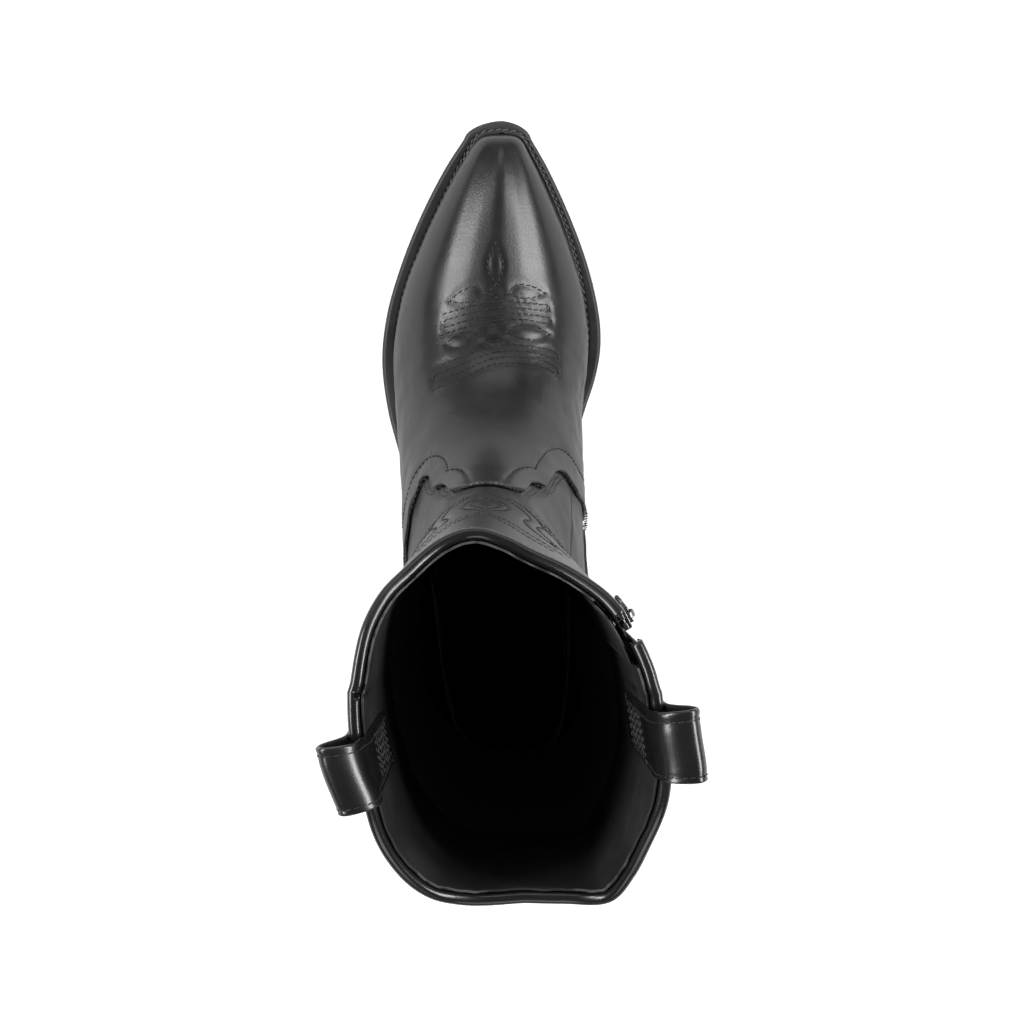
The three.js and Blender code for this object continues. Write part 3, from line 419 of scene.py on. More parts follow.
def resample(points, step):
    gap = np.linalg.norm(np.diff(points, axis=0), axis=1)
    far = np.concatenate([[0], np.cumsum(gap)])
    count = max(2, int(round(far[-1] / step)) + 1)
    at = np.linspace(0, far[-1], count)
    return np.stack([np.interp(at, far, points[:, i]) for i in range(3)], 1)


def smooth_line(points, count=40):
    """A smooth open line through a few 2-D points."""
    p = np.asarray(points, float)
    p = np.concatenate([[2 * p[0] - p[1]], p, [2 * p[-1] - p[-2]]])
    out = []
    for k in range(1, len(p) - 2):
        t = np.linspace(0, 1, count, endpoint=False)[:, None]
        a, b, c, d = p[k - 1], p[k], p[k + 1], p[k + 2]
        out.append(0.5 * (2 * b + (c - a) * t + (2 * a - 5 * b + 4 * c - d) * t**2 + (3 * b - a - 3 * c + d)
                          * t**3))
    return np.concatenate(out + [p[-2][None]])


# Edges of the pattern pieces, as ring numbers against the angle from the front.
VAMP_OUTER = lines_through([(0, 11.8), (12, 11.45), (21, 10.55), (24.5, 10.2), (26, 9.78), (29, 9.5),
                            (33, 9.42),
                            (36.5, 9.4), (38.2, 9.0), (40, 8.82), (44, 8.74), (50, 8.8), (56, 8.95),
                            (62, 9.06),
                            (70, 9.2), (77, 9.3), (90, 9.25), (120, 8.8), (158, 8.3)])
VAMP_INNER = lines_through([(0, 11.8), (11, 11.5), (20.5, 10.6), (23.5, 10.3), (24.8, 9.9), (27, 9.5),
                            (31, 9.36),
                            (37, 9.3), (38.6, 9.08), (41, 8.8), (44.5, 8.6), (48, 8.48), (52.5, 8.44),
                            (58.5, 8.48),
                            (69.5, 8.56), (90, 8.4), (120, 8.35), (158, 8.3)])
COUNTER_HALF = curve_through([(0, 14.1), (20, 13.7), (40, 12.5), (60, 11), (78, 9.6)])
SEAT_UNDER = lines_through([(0, 10.45), (10, 10.25), (17, 9.8), (22, 9.2), (30, 8.4)])
SEAT_EDGE = lines_through([(0, 11.35), (12, 11.2), (22, 10.8), (30, 10.3), (38, 9.5), (44, 8.5)])
UNDER, FEATHER, COUNTER_FROM, OVERLAP = 158.0, 146.0, 104.0, 0.9


def from_back(v):
    return 180 - np.abs(wrap(v))


def vamp_top(v):
    """The vamp's upper edge: a raised tongue, a step, two scallops and a long sweep to the sole."""
    v = wrap(v)
    return np.where(v < 0, VAMP_OUTER(-v), VAMP_INNER(v))


def counter_top(v):
    return COUNTER_HALF(from_back(v))


def counter_low(v):
    return np.maximum(vamp_top(v) + 0.1, SEAT_UNDER(from_back(v)))


def slot_half(u):
    """Half the opening between the panels at the zip."""
    return lerp(0.15, SLOT_HALF, np.clip((np.asarray(u) - SHAFT_RING + 0.6) / 0.6, 0, 1))


ZIP_TOP = float(topline(np.array(ZIP_ANGLE)))
SLIDER_Z = ZIP_TOP - SLIDER_DROP
ZIP_LOW = skin(ring_at_height(SLIDER_Z - ZIP_TRAVEL), np.array(ZIP_ANGLE))
ZIP_HIGH = skin(ring_at_height(SLIDER_Z), np.array(ZIP_ANGLE))


def side_angle(centre, u, mm):
    """Angles at a distance beside a line up the shaft; the zip's own line is kept straight."""
    u = np.asarray(u, float)
    middle = np.full(u.shape, float(centre))
    if centre == ZIP_ANGLE:
        here = skin(u, middle)
        share = (here[..., 2:] - ZIP_LOW[2]) / (ZIP_HIGH[2] - ZIP_LOW[2])
        sideways = skin(u, middle + 1) - skin(u, middle - 1)
        sideways /= np.linalg.norm(sideways, axis=-1, keepdims=True)
        bend = ((lerp(ZIP_LOW, ZIP_HIGH, share) - here) * sideways).sum(-1)
        mm = mm + np.where(share[..., 0] > 0, bend, 0.0)
    return centre + degrees_for(mm, u, middle)


# ---- The soft shape that every layer shares: a keel over the toes, creases at the ankle, slight waves ----
def soft(u, v):
    v = wrap(v)
    p = skin(u, v)
    width = np.radians(np.abs(v)) * 30
    keel = 0.75 * np.exp(-(width / 4.5) ** 2) * smoothstep(u, 0.6, 2.2) * (1 - smoothstep(u, 4.6, 6.4))
    flats = -0.5 * np.exp(-((np.abs(v) - 26)
                            / 11) ** 2) * smoothstep(u, 1.2, 2.6) * (1 - smoothstep(u, 4.4, 6.2))
    low_part = np.abs(v) < 125
    folds = noise(p * np.array([0.35, 1, 1.25]), 9.5, 3) * 0.42 + noise(p * np.array([0.5, 1.2, 1.4]), 5.0,
                                                                        9) * 0.16
    bend = np.exp(-((u - 8.6) / 2.6) ** 2) + 0.5 * np.exp(-((u - 5.9) / 0.9) ** 2)
    side = smoothstep(np.abs(v), 14, 60)
    creases = folds * bend * (0.25 + 0.75 * side) * low_part
    waves = 0.55 * noise(p, 42.0, 5) * smoothstep(u, 1, 5) + 0.8 * noise(p, 75.0, 6) * smoothstep(u, 14, 17)
    calm = 1 - np.exp(-(((v - ZIP_ANGLE + 180) % 360 - 180) / 22) ** 2) * smoothstep(u, 13.0, 14.5)
    rim = 1 - 0.7 * smoothstep(p[..., 2], HEIGHT - 60, HEIGHT - 20)
    foot = smoothstep(np.abs(p[..., 2] - sole_top(-p[..., 1])), 2.0, 9.0)
    return (keel + flats + creases + waves) * calm * rim * foot


def place(u, v, off=0.0):
    """A point of one of the upper's layers, off being its distance out from the shared surface."""
    u, v = np.broadcast_arrays(np.asarray(u, float), np.asarray(v, float))
    return on_skin(u, v, np.asarray(off, float) + soft(u, v))


def path_on(u, v, off, kind, closed=False):
    """Registers a stitched line that lies on a layer."""
    u, v = np.asarray(u, float), np.asarray(v, float)
    if closed:
        u, v = np.append(u, u[0]), np.append(v, v[0])
    points = place(u, v, np.full(u.shape, off))
    STITCHES.append({"points": points, "normals": skin_normal(u, v), "kind": kind})


def uv_line(points, count=12):
    line = smooth_line(points, count)
    return line[:, 0], line[:, 1]


def leather_piece(name, u, v, outside, inside, material, grooves=(), depth=0.35, radius=0.7, pole=False,
                  relief=None, **kwargs):
    """A sheet of leather over grids of ring numbers and angles, with rounded edges and sunk seams."""
    base = skin(u, v)
    far_u = np.concatenate([np.zeros((1, u.shape[1])),
                            np.cumsum(np.linalg.norm(np.diff(base, axis=0), axis=2), 0)])
    far_v = np.concatenate([np.zeros((u.shape[0], 1)),
                            np.cumsum(np.linalg.norm(np.diff(base, axis=1), axis=2), 1)], 1)
    edge = np.minimum(far_u[-1] - far_u, np.minimum(far_v, far_v[:, -1:] - far_v))
    if not pole:
        edge = np.minimum(edge, far_u)
    gap = np.clip(1 - edge / radius, 0, 1)
    drop = radius * (1 - np.sqrt(np.clip(1 - gap * gap, 0, 1)))
    lift = np.zeros(u.shape) if relief is None else relief(u, v, base)
    if grooves:
        points = place(u, v, outside).reshape(-1, 3)
        lift = lift - depth * closest_groove(points, grooves, 1.15).reshape(u.shape)
    outer = place(u, v, outside + lift - drop)
    inner = place(u, v, inside + 0.4 * drop)
    rows, columns = u.shape
    count = rows * columns
    faces = grid_faces(rows, columns) + grid_faces(rows, columns, count, True)
    for i in range(rows - 1):
        a = i * columns
        faces.append((a, count + a, count + a + columns, a + columns))
        a += columns - 1
        faces.append((a, a + columns, count + a + columns, count + a))
    for j in range(columns - 1):
        a = (rows - 1) * columns + j
        faces.append((a + 1, a, count + a, count + a + 1))
        if not pole:
            faces.append((j, j + 1, count + j + 1, count + j))
    points = np.concatenate([outer.reshape(-1, 3), inner.reshape(-1, 3)])
    return new_object(name, points, faces, material, **kwargs)


def shares(count, edge=0.012):
    """Shares from 0 to 1, crowded at both ends so that a rounded edge has enough points."""
    ends = np.array([0, 0.12, 0.3, 0.6]) * edge
    return np.concatenate([ends, np.linspace(edge, 1 - edge, count), 1 - ends[::-1]])


def uv_grid(left, right, low, high, rows, columns, row_edge=0.012, column_edge=0.012):
    """Grids between side edges left(u), right(u) and end edges low(v), high(v)."""
    s, t = shares(rows, row_edge), shares(columns, column_edge)
    v = np.broadcast_to(lerp(float(left(SHAFT_RING + 3)), float(right(SHAFT_RING + 3)), t), (len(s), len(t)))
    for _ in range(3):
        u = lerp(low(v), high(v), s[:, None])
        v = lerp(left(u), right(u), t[None, :])
    return lerp(low(v), high(v), s[:, None]), v


# ---- Materials ----
def shader_group(name, inputs, outputs):
    tree = bpy.data.node_groups.new(name, "ShaderNodeTree")
    for label, value in inputs:
        socket = tree.interface.new_socket(label, in_out="INPUT", socket_type="NodeSocketFloat")
        socket.default_value = value
    for label in outputs:
        tree.interface.new_socket(label, in_out="OUTPUT", socket_type="NodeSocketFloat")
    return tree, tree.nodes.new("NodeGroupInput"), tree.nodes.new("NodeGroupOutput")


def math_node(tree, operation, a, b=None, c=None):
    node = tree.nodes.new("ShaderNodeMath")
    node.operation = operation
    for i, value in enumerate((a, b, c)):
        if value is None:
            continue
        if isinstance(value, (int, float)):
            node.inputs[i].default_value = value
        else:
            tree.links.new(value, node.inputs[i])
    return node.outputs[0]


def noise_node(tree, vector, scale, detail=3.0, roughness=0.5):
    node = tree.nodes.new("ShaderNodeTexNoise")
    node.inputs["Detail"].default_value = detail
    node.inputs["Roughness"].default_value = roughness
    tree.links.new(vector, node.inputs["Vector"])
    if isinstance(scale, (int, float)):
        node.inputs["Scale"].default_value = scale
    else:
        tree.links.new(scale, node.inputs["Scale"])
    return node.outputs["Fac"]


def leather_grain_group():
    """Pebbled leather grain, fine pores and a slow mottle, in metres over the object."""
    tree, source, sink = shader_group("leather_grain", [("Pebbles per metre", 900.0), ("Wrinkles", 0.5)],
                                      ["Height", "Mottle", "Wear"])
    where = tree.nodes.new("ShaderNodeTexCoord").outputs["Object"]
    warp = tree.nodes.new("ShaderNodeTexNoise")
    warp.inputs["Scale"].default_value = 260.0
    tree.links.new(where, warp.inputs["Vector"])
    shift = tree.nodes.new("ShaderNodeVectorMath")
    shift.operation = "MULTIPLY_ADD"
    shift.inputs[1].default_value = (0.0012, 0.0012, 0.0012)
    tree.links.new(warp.outputs["Color"], shift.inputs[0])
    tree.links.new(where, shift.inputs[2])
    cells = tree.nodes.new("ShaderNodeTexVoronoi")
    cells.feature = "F1"
    tree.links.new(shift.outputs[0], cells.inputs["Vector"])
    tree.links.new(source.outputs[0], cells.inputs["Scale"])
    pebbles = math_node(tree, "MULTIPLY", cells.outputs["Distance"], -0.55)
    fine = noise_node(tree, where, 2600.0, 2.0)
    stretched = tree.nodes.new("ShaderNodeMapping")
    stretched.inputs["Scale"].default_value = (0.45, 1.0, 1.0)
    tree.links.new(where, stretched.inputs["Vector"])
    wrinkle = noise_node(tree, stretched.outputs[0], 170.0, 5.0, 0.62)
    ridge = math_node(tree, "ABSOLUTE", math_node(tree, "SUBTRACT", wrinkle, 0.5))
    ridge = math_node(tree, "MULTIPLY", ridge, source.outputs[1])
    height = math_node(tree, "MULTIPLY_ADD", fine, 0.35, pebbles)
    height = math_node(tree, "ADD", height, math_node(tree, "MULTIPLY", ridge, 4.0))
    tree.links.new(height, sink.inputs[0])
    tree.links.new(noise_node(tree, where, 34.0, 4.0, 0.6), sink.inputs[1])
    scuffs = noise_node(tree, stretched.outputs[0], 420.0, 6.0, 0.7)
    tree.links.new(math_node(tree, "MULTIPLY", math_node(tree, "SUBTRACT", scuffs, 0.5), 2.0), sink.inputs[2])
    return tree


def weave_group():
    """Crossing threads of a plain weave and the slubs in it, in metres over the object."""
    tree, source, sink = shader_group("woven_threads", [("Threads per metre", 1500.0)], ["Height", "Slub"])
    where = tree.nodes.new("ShaderNodeTexCoord").outputs["Object"]
    parts = tree.nodes.new("ShaderNodeSeparateXYZ")
    tree.links.new(where, parts.inputs[0])
    turn = math_node(tree, "MULTIPLY", source.outputs[0], math.pi)
    flat = math_node(tree, "ADD", parts.outputs[0], parts.outputs[1])
    warp = math_node(tree, "SINE", math_node(tree, "MULTIPLY", flat, turn))
    weft = math_node(tree, "SINE", math_node(tree, "MULTIPLY", parts.outputs[2], turn))
    height = math_node(tree, "MULTIPLY", warp, weft)
    tree.links.new(math_node(tree, "MULTIPLY", height, 0.5), sink.inputs[0])
    tree.links.new(noise_node(tree, where, 300.0, 4.0, 0.6), sink.inputs[1])
    return tree


def surface(name, dark, light, rough, group=None, settings=(), bump=0.0002, strength=0.4,
            metallic=0.0, coat=0.0, coat_rough=0.2, sheen=0.0, mix_output=1, specular=0.5):
    """A Principled surface whose colour, roughness and bump come from a shared group."""
    material = bpy.data.materials.new(name)
    material.use_nodes = True
    tree = material.node_tree
    shader = tree.nodes["Principled BSDF"]
    shader.inputs["Metallic"].default_value = metallic
    shader.inputs["Specular IOR Level"].default_value = specular
    if coat:
        shader.inputs["Coat Weight"].default_value = coat
        shader.inputs["Coat Roughness"].default_value = coat_rough
    if sheen:
        shader.inputs["Sheen Weight"].default_value = sheen
        shader.inputs["Sheen Roughness"].default_value = 0.5
    effect = tree.nodes.new("ShaderNodeGroup")
    effect.node_tree = group
    for i, value in enumerate(settings):
        effect.inputs[i].default_value = value
    ramp = tree.nodes.new("ShaderNodeValToRGB")
    ramp.color_ramp.elements[0].position = 0.32
    ramp.color_ramp.elements[0].color = (*dark, 1)
    ramp.color_ramp.elements[1].position = 0.7
    ramp.color_ramp.elements[1].color = (*light, 1)
    tree.links.new(effect.outputs[mix_output], ramp.inputs[0])
    tree.links.new(ramp.outputs[0], shader.inputs["Base Color"])
    spread = tree.nodes.new("ShaderNodeMapRange")
    spread.inputs["To Min"].default_value = rough[0]
    spread.inputs["To Max"].default_value = rough[1]
    spread.inputs["From Min"].default_value = 0.3
    spread.inputs["From Max"].default_value = 0.7
    tree.links.new(effect.outputs[mix_output], spread.inputs["Value"])
    tree.links.new(spread.outputs[0], shader.inputs["Roughness"])
    relief = tree.nodes.new("ShaderNodeBump")
    relief.inputs["Strength"].default_value = strength
    relief.inputs["Distance"].default_value = bump
    tree.links.new(effect.outputs[0], relief.inputs["Height"])
    tree.links.new(relief.outputs[0], shader.inputs["Normal"])
    return material


MATERIALS = {}


# The upper's leathers: key, name, roughness past the look's, the grain's size and depth, bump height and
# strength, coat and the coat's roughness.
LEATHERS = (
    ("vamp", "glazed_vamp_leather", (0.0, 0.1), (1000.0, 0.55), 0.00016, 0.32, 0.25, 0.22),
    ("shaft", "soft_shaft_leather", (0.03, 0.14), (1100.0, 0.7), 0.00018, 0.36, 0.2, 0.25),
    ("strap", "pull_strap_leather", (-0.05, 0.06), (1300.0, 0.4), 0.00012, 0.3, 0.35, 0.18),
    ("trim", "binding_leather", (-0.08, 0.05), (1500.0, 0.3), 0.0001, 0.25, 0.3, 0.18),
)
# Everything else: key, name, dark colour, light colour, roughness, the grain's or weave's size and depth,
# bump height and strength, whatever else is its own.
FINISHES = (
    ("facing", "facing_leather", (0.012, 0.012, 0.013), (0.024, 0.024, 0.026), (0.42, 0.56),
     (1200.0, 0.35), 0.00014, 0.3, {}),
    # the cut edge's paler colour is a painted highlight along the facing's top edge
    ("painted_edge_highlight", "cut_edge_painted_highlight", (0.05, 0.048, 0.046), (0.13, 0.125, 0.12), (0.75, 0.9),
     (2600.0, 1.0), 0.0003, 0.7, {}),
    ("lining", "lining_cloth", (0.004, 0.004, 0.0045), (0.011, 0.011, 0.012), (0.85, 0.97),
     (1300.0,), 0.00025, 0.5, {"sheen": 0.08}),
    ("tape", "zip_tape_weave", (0.008, 0.008, 0.009), (0.02, 0.02, 0.021), (0.7, 0.85),
     (1900.0,), 0.0002, 0.6, {"sheen": 0.1}),
    ("teeth", "zip_nylon", (0.01, 0.01, 0.011), (0.02, 0.02, 0.021), (0.3, 0.42),
     (2600.0, 0.1), 0.00005, 0.2, {}),
    ("metal", "dark_nickel", (0.16, 0.16, 0.165), (0.26, 0.26, 0.265), (0.2, 0.32),
     (2200.0, 0.15), 0.00004, 0.15, {"metallic": 1.0}),
    ("steel", "bright_steel", (0.42, 0.42, 0.43), (0.58, 0.58, 0.6), (0.28, 0.4),
     (2200.0, 0.2), 0.00004, 0.15, {"metallic": 1.0}),
    ("welt", "welt_edge_black", (0.012, 0.012, 0.012), (0.03, 0.03, 0.031), (0.4, 0.55),
     (1700.0, 0.5), 0.00016, 0.4, {}),
    ("sole", "sole_rubber", (0.009, 0.009, 0.009), (0.02, 0.02, 0.02), (0.5, 0.66),
     (2100.0, 0.3), 0.00015, 0.35, {}),
    ("heel", "painted_heel_stack", (0.008, 0.008, 0.008), (0.019, 0.018, 0.018), (0.3, 0.44),
     (1900.0, 0.5), 0.00012, 0.3, {"coat": 0.2}),
    ("thread", "waxed_thread", (0.006, 0.006, 0.007), (0.022, 0.022, 0.023), (0.42, 0.6),
     (4000.0, 0.4), 0.0001, 0.5, {}),
    ("welt_thread", "welt_thread", (0.03, 0.03, 0.031), (0.085, 0.085, 0.087), (0.45, 0.6),
     (4000.0, 0.4), 0.0001, 0.5, {}),
    ("board", "fibre_board", (0.16, 0.1, 0.055), (0.3, 0.2, 0.12), (0.8, 0.95),
     (2500.0, 0.8), 0.0002, 0.6, {}),
    ("stiffener", "stiffener_board", (0.4, 0.36, 0.28), (0.6, 0.55, 0.45), (0.8, 0.95),
     (2500.0, 0.6), 0.0002, 0.5, {}),
)


def make_materials(look):
    grain, weave = leather_grain_group(), weave_group()
    black = tuple(look.leather)
    soft_black = tuple(c * 1.9 for c in black)
    gloss = look.roughness
    for key, name, (low, high), settings, bump, strength, coat, coat_rough in LEATHERS:
        MATERIALS[key] = surface(name, black, soft_black, (gloss + low, gloss + high), group=grain,
                                 settings=settings, bump=bump, strength=strength, coat=coat,
                                 coat_rough=coat_rough)
    for key, name, dark, light, rough, settings, bump, strength, others in FINISHES:
        # a weave has only a size, a grain a size and a depth
        MATERIALS[key] = surface(name, dark, light, rough, group=grain if len(settings) > 1 else weave,
                                 settings=settings, bump=bump, strength=strength, **others)
    hidden = {"toe_puff": "stiffener", "counter_stiffener": "stiffener", "vamp_interlining": "stiffener",
              "bottom_filler": "board", "insole_board": "board", "shank": "steel", "heel_nail_1": "steel",
              "heel_nail_2": "steel", "heel_nail_3": "steel", "heel_nail_4": "steel"}
    for node, finish in hidden.items():
        finish_node(node, finish)


def finish_node(node, finish):
    mesh = frame["nodes"][node].data
    mesh.materials.clear()
    mesh.materials.append(MATERIALS[finish])


# ---- Repeats: one Geometry Nodes tree lays stitches or teeth along lines ----
def row_tree():
    """Lays a small rounded piece along every line, pointing along it and standing out from the surface."""
    tree = bpy.data.node_groups.new("stitch_row", "GeometryNodeTree")
    face = tree.interface
    face.new_socket("Lines", in_out="INPUT", socket_type="NodeSocketGeometry")
    for label, value in (("Pitch", 0.0028), ("Length", 0.0022), ("Width", 0.0007), ("Height", 0.0006),
                         ("Slant", 0.0)):
        socket = face.new_socket(label, in_out="INPUT", socket_type="NodeSocketFloat")
        socket.default_value = value
    face.new_socket("Seed", in_out="INPUT", socket_type="NodeSocketInt")
    face.new_socket("Material", in_out="INPUT", socket_type="NodeSocketMaterial")
    face.new_socket("Rows", in_out="OUTPUT", socket_type="NodeSocketGeometry")
    source, sink = tree.nodes.new("NodeGroupInput"), tree.nodes.new("NodeGroupOutput")
    link = tree.links.new
    curve = tree.nodes.new("GeometryNodeMeshToCurve")
    link(source.outputs["Lines"], curve.inputs["Mesh"])
    spaced = tree.nodes.new("GeometryNodeResampleCurve")
    spaced.mode = "LENGTH"
    link(curve.outputs[0], spaced.inputs["Curve"])
    link(source.outputs["Pitch"], spaced.inputs["Length"])
    outward = tree.nodes.new("GeometryNodeInputNamedAttribute")
    outward.data_type = "FLOAT_VECTOR"
    outward.inputs["Name"].default_value = "outward"
    tangent = tree.nodes.new("GeometryNodeInputTangent")
    stand = tree.nodes.new("FunctionNodeAlignRotationToVector")
    stand.axis = "Z"
    link(outward.outputs["Attribute"], stand.inputs["Vector"])
    point = tree.nodes.new("FunctionNodeAlignRotationToVector")
    point.axis = "X"
    point.pivot_axis = "Z"
    link(stand.outputs[0], point.inputs["Rotation"])
    link(tangent.outputs[0], point.inputs["Vector"])
    ball = tree.nodes.new("GeometryNodeMeshUVSphere")
    ball.inputs["Segments"].default_value = 6
    ball.inputs["Rings"].default_value = 4
    ball.inputs["Radius"].default_value = 0.5
    size = tree.nodes.new("ShaderNodeCombineXYZ")
    for label, axis in (("Length", "X"), ("Width", "Y"), ("Height", "Z")):
        link(source.outputs[label], size.inputs[axis])
    turn = tree.nodes.new("ShaderNodeCombineXYZ")
    link(source.outputs["Slant"], turn.inputs["Z"])
    shaped = tree.nodes.new("GeometryNodeTransform")
    link(ball.outputs["Mesh"], shaped.inputs["Geometry"])
    link(size.outputs[0], shaped.inputs["Scale"])
    link(turn.outputs[0], shaped.inputs["Rotation"])
    vary = tree.nodes.new("FunctionNodeRandomValue")
    vary.data_type = "FLOAT"
    vary.inputs[2].default_value = 0.9
    vary.inputs[3].default_value = 1.08
    link(source.outputs["Seed"], vary.inputs["Seed"])
    laid = tree.nodes.new("GeometryNodeInstanceOnPoints")
    link(spaced.outputs[0], laid.inputs["Points"])
    link(shaped.outputs[0], laid.inputs["Instance"])
    link(point.outputs[0], laid.inputs["Rotation"])
    link(vary.outputs[1], laid.inputs["Scale"])
    real = tree.nodes.new("GeometryNodeRealizeInstances")
    link(laid.outputs[0], real.inputs[0])
    paint = tree.nodes.new("GeometryNodeSetMaterial")
    link(real.outputs[0], paint.inputs["Geometry"])
    link(source.outputs["Material"], paint.inputs["Material"])
    link(paint.outputs[0], sink.inputs[0])
    return tree


def socket_id(tree, label):
    return [i.identifier for i in tree.interface.items_tree if i.name == label and i.in_out == "INPUT"][0]


def lay_rows(name, rows, settings, material, body="boot", replaces=(), seed=7):
    """Turns lines of points with outward directions into rows of stitches or teeth, as one plain mesh."""
    tree = bpy.data.node_groups.get("stitch_row") or row_tree()
    points, edges, outs = [], [], []
    for row in rows:
        line, normals = resample(row["points"], 0.8), row["normals"]
        at = np.linspace(0, len(normals) - 1, len(line))
        index = np.arange(len(normals))
        first = len(points)
        for i, p in enumerate(line):
            n = np.array([np.interp(at[i], index, normals[:, k]) for k in range(3)])
            outs.append(n / np.linalg.norm(n))
            points.append(p)
            if i:
                edges.append((first + i - 1, first + i))
    mesh = bpy.data.meshes.new(name + "_lines")
    mesh.from_pydata([tuple(p) for p in to_row(points)], edges, [])
    mesh.attributes.new("outward", "FLOAT_VECTOR", "POINT").data.foreach_set("vector", np.ravel(outs))
    guide = bpy.data.objects.new(name + "_lines", mesh)
    bpy.context.scene.collection.objects.link(guide)
    modifier = guide.modifiers.new("rows", "NODES")
    modifier.node_group = tree
    for label, value in settings.items():
        modifier[socket_id(tree, label)] = value
    modifier[socket_id(tree, "Seed")] = seed
    modifier[socket_id(tree, "Material")] = material
    graph = bpy.context.evaluated_depsgraph_get()
    done = bpy.data.meshes.new_from_object(guide.evaluated_get(graph))
    bpy.data.objects.remove(guide)
    bpy.data.meshes.remove(mesh)
    done.shade_smooth()
    done.name = name
    piece = bpy.data.objects.new(name, done)
    bpy.context.scene.collection.objects.link(piece)
    if not done.polygons:
        raise RuntimeError(name + " came out empty")
    return settle(piece, body, replaces)


def rows_of(*kinds):
    return [s for s in STITCHES if s["kind"] in kinds]


# ---- Stitched lines, in the order of their pieces ----
def crossing_rows(first, last, count=4):
    """Rows across the vamp, joined end to end by tight turns."""
    u1, v1 = uv_line(first, 14)
    u2, v2 = uv_line(last, 14)
    us, vs = [], []
    for i in range(count):
        u, v = lerp(u1, u2, i / (count - 1)), lerp(v1, v2, i / (count - 1))
        us.append(u if i % 2 == 0 else u[::-1])
        vs.append(v if i % 2 == 0 else v[::-1])
    return np.concatenate(us), np.concatenate(vs)


TOE_ROWS = (
    ([(5.22, -30.5), (5.1, -16.5), (5.0, 0.5), (5.0, 14.5), (5.07, 35.5)],
     [(5.62, -31), (5.46, -15.5), (5.35, 0.5), (5.31, 14.5), (5.42, 36.5)]),
    ([(6.3, -35.5), (6.03, -16.5), (5.85, -2.5), (5.8, 4.5), (5.81, 15.5), (5.9, 33.5), (6.0, 40.5)],
     [(6.76, -36.5), (6.5, -17), (6.25, -3), (6.18, 4), (6.17, 17.5), (6.3, 33.5), (6.46, 42.5)]),
)
TOE_LEAVES = (
    [(4.05, -1.2), (4.3, -5.4), (4.5, -4.8), (4.7, 0.3), (4.86, 6.3)],
    [(4.05, -1.2), (4.3, 3.4), (4.5, 3.6), (4.7, 0.3), (4.86, -5.5)],
    [(4.86, -5.5), (4.75, -13.5), (4.84, -22.5), (5.0, -28.5)],
    [(5.0, -28.5), (5.02, -19.5), (4.97, -11.5), (4.86, -5.5), (4.94, 0.5)],
    [(4.86, 6.3), (4.71, 14.5), (4.75, 25.5), (4.86, 33.5)],
    [(4.86, 33.5), (4.92, 24.5), (4.93, 16.5), (4.86, 6.3), (4.94, 0.5)],
    [(5.62, -7.0), (5.55, -14.5), (5.62, -21.5), (5.81, -28.5)],
    [(5.81, -28.5), (5.86, -20.5), (5.8, -13.5), (5.62, -7.0), (5.44, -0.5)],
    [(5.56, 6.5), (5.41, 14.5), (5.46, 25.5), (5.61, 34.5)],
    [(5.61, 34.5), (5.7, 25.5), (5.67, 15.5), (5.56, 6.5), (5.44, -0.5)],
    [(5.62, -7.0), (5.75, 0.4), (5.56, 6.5)],
)
VAMP_SWEEPS = (
    [(11.1, -10.8), (10.3, -11.3), (9.66, -12.7), (9.31, -15.5), (9.12, -20.5), (9.06, -25.2)],
    [(9.06, -25.2), (8.8, -25.7), (8.56, -27.8), (8.37, -32.5), (8.3, -40.5), (8.36, -47.5), (8.47, -54),
     (8.62, -62), (8.76, -72), (8.84, -82), (8.82, -92)],
    [(11.2, 10.4), (10.1, 11.4), (9.61, 13.5), (9.21, 16.8), (8.97, 22.5), (8.83, 29.2)],
    [(8.83, 29.2), (8.56, 31.4), (8.21, 36.5), (8.02, 43.5), (7.96, 50.5), (8.0, 57), (8.07, 66), (8.1, 76),
     (8.06, 88)],
)


def stitch_vamp():
    for first, last in TOE_ROWS:
        path_on(*crossing_rows(first, last), -0.12, "toe")
    for line in TOE_LEAVES:
        path_on(*uv_line(line), -0.12, "toe")
    for line in VAMP_SWEEPS:
        path_on(*uv_line(line), -0.12, "vamp")
    for gap in (1.9, 3.9):
        v = np.linspace(-140, 140, 900)
        u, w = beside(vamp_top(v), v, -gap)
        keep = smooth_ends(u, w)
        path_on(*keep, -0.12, "vamp_edge")


def smooth_ends(u, v):
    """Softens the cusps that a line beside a stepped edge gets."""
    kernel = np.hanning(13)
    kernel /= kernel.sum()
    pad = 6
    smooth = lambda x: np.convolve(np.pad(x, pad, mode="edge"), kernel, mode="valid")
    return smooth(u), smooth(v)


def round_table(u, middle):
    """Distances round the surface at a ring, measured from an angle."""
    angles = middle + np.arange(-120, 121, 3.0)
    p = skin(np.full(angles.shape, u), angles)
    far = np.concatenate([[0], np.cumsum(np.linalg.norm(np.diff(p, axis=0), axis=1))])
    return angles, far - np.interp(middle, angles, far)


def on_shaft(points, middle, flip):
    """Ring numbers and angles of points (distance round, height) on the shaft."""
    us, vs = [], []
    for w, z in points:
        u = float(ring_at_height(z))
        angles, far = round_table(u, middle)
        us.append(u)
        vs.append(float(np.interp(w * flip, far, angles)))
    return np.array(us), np.array(vs)


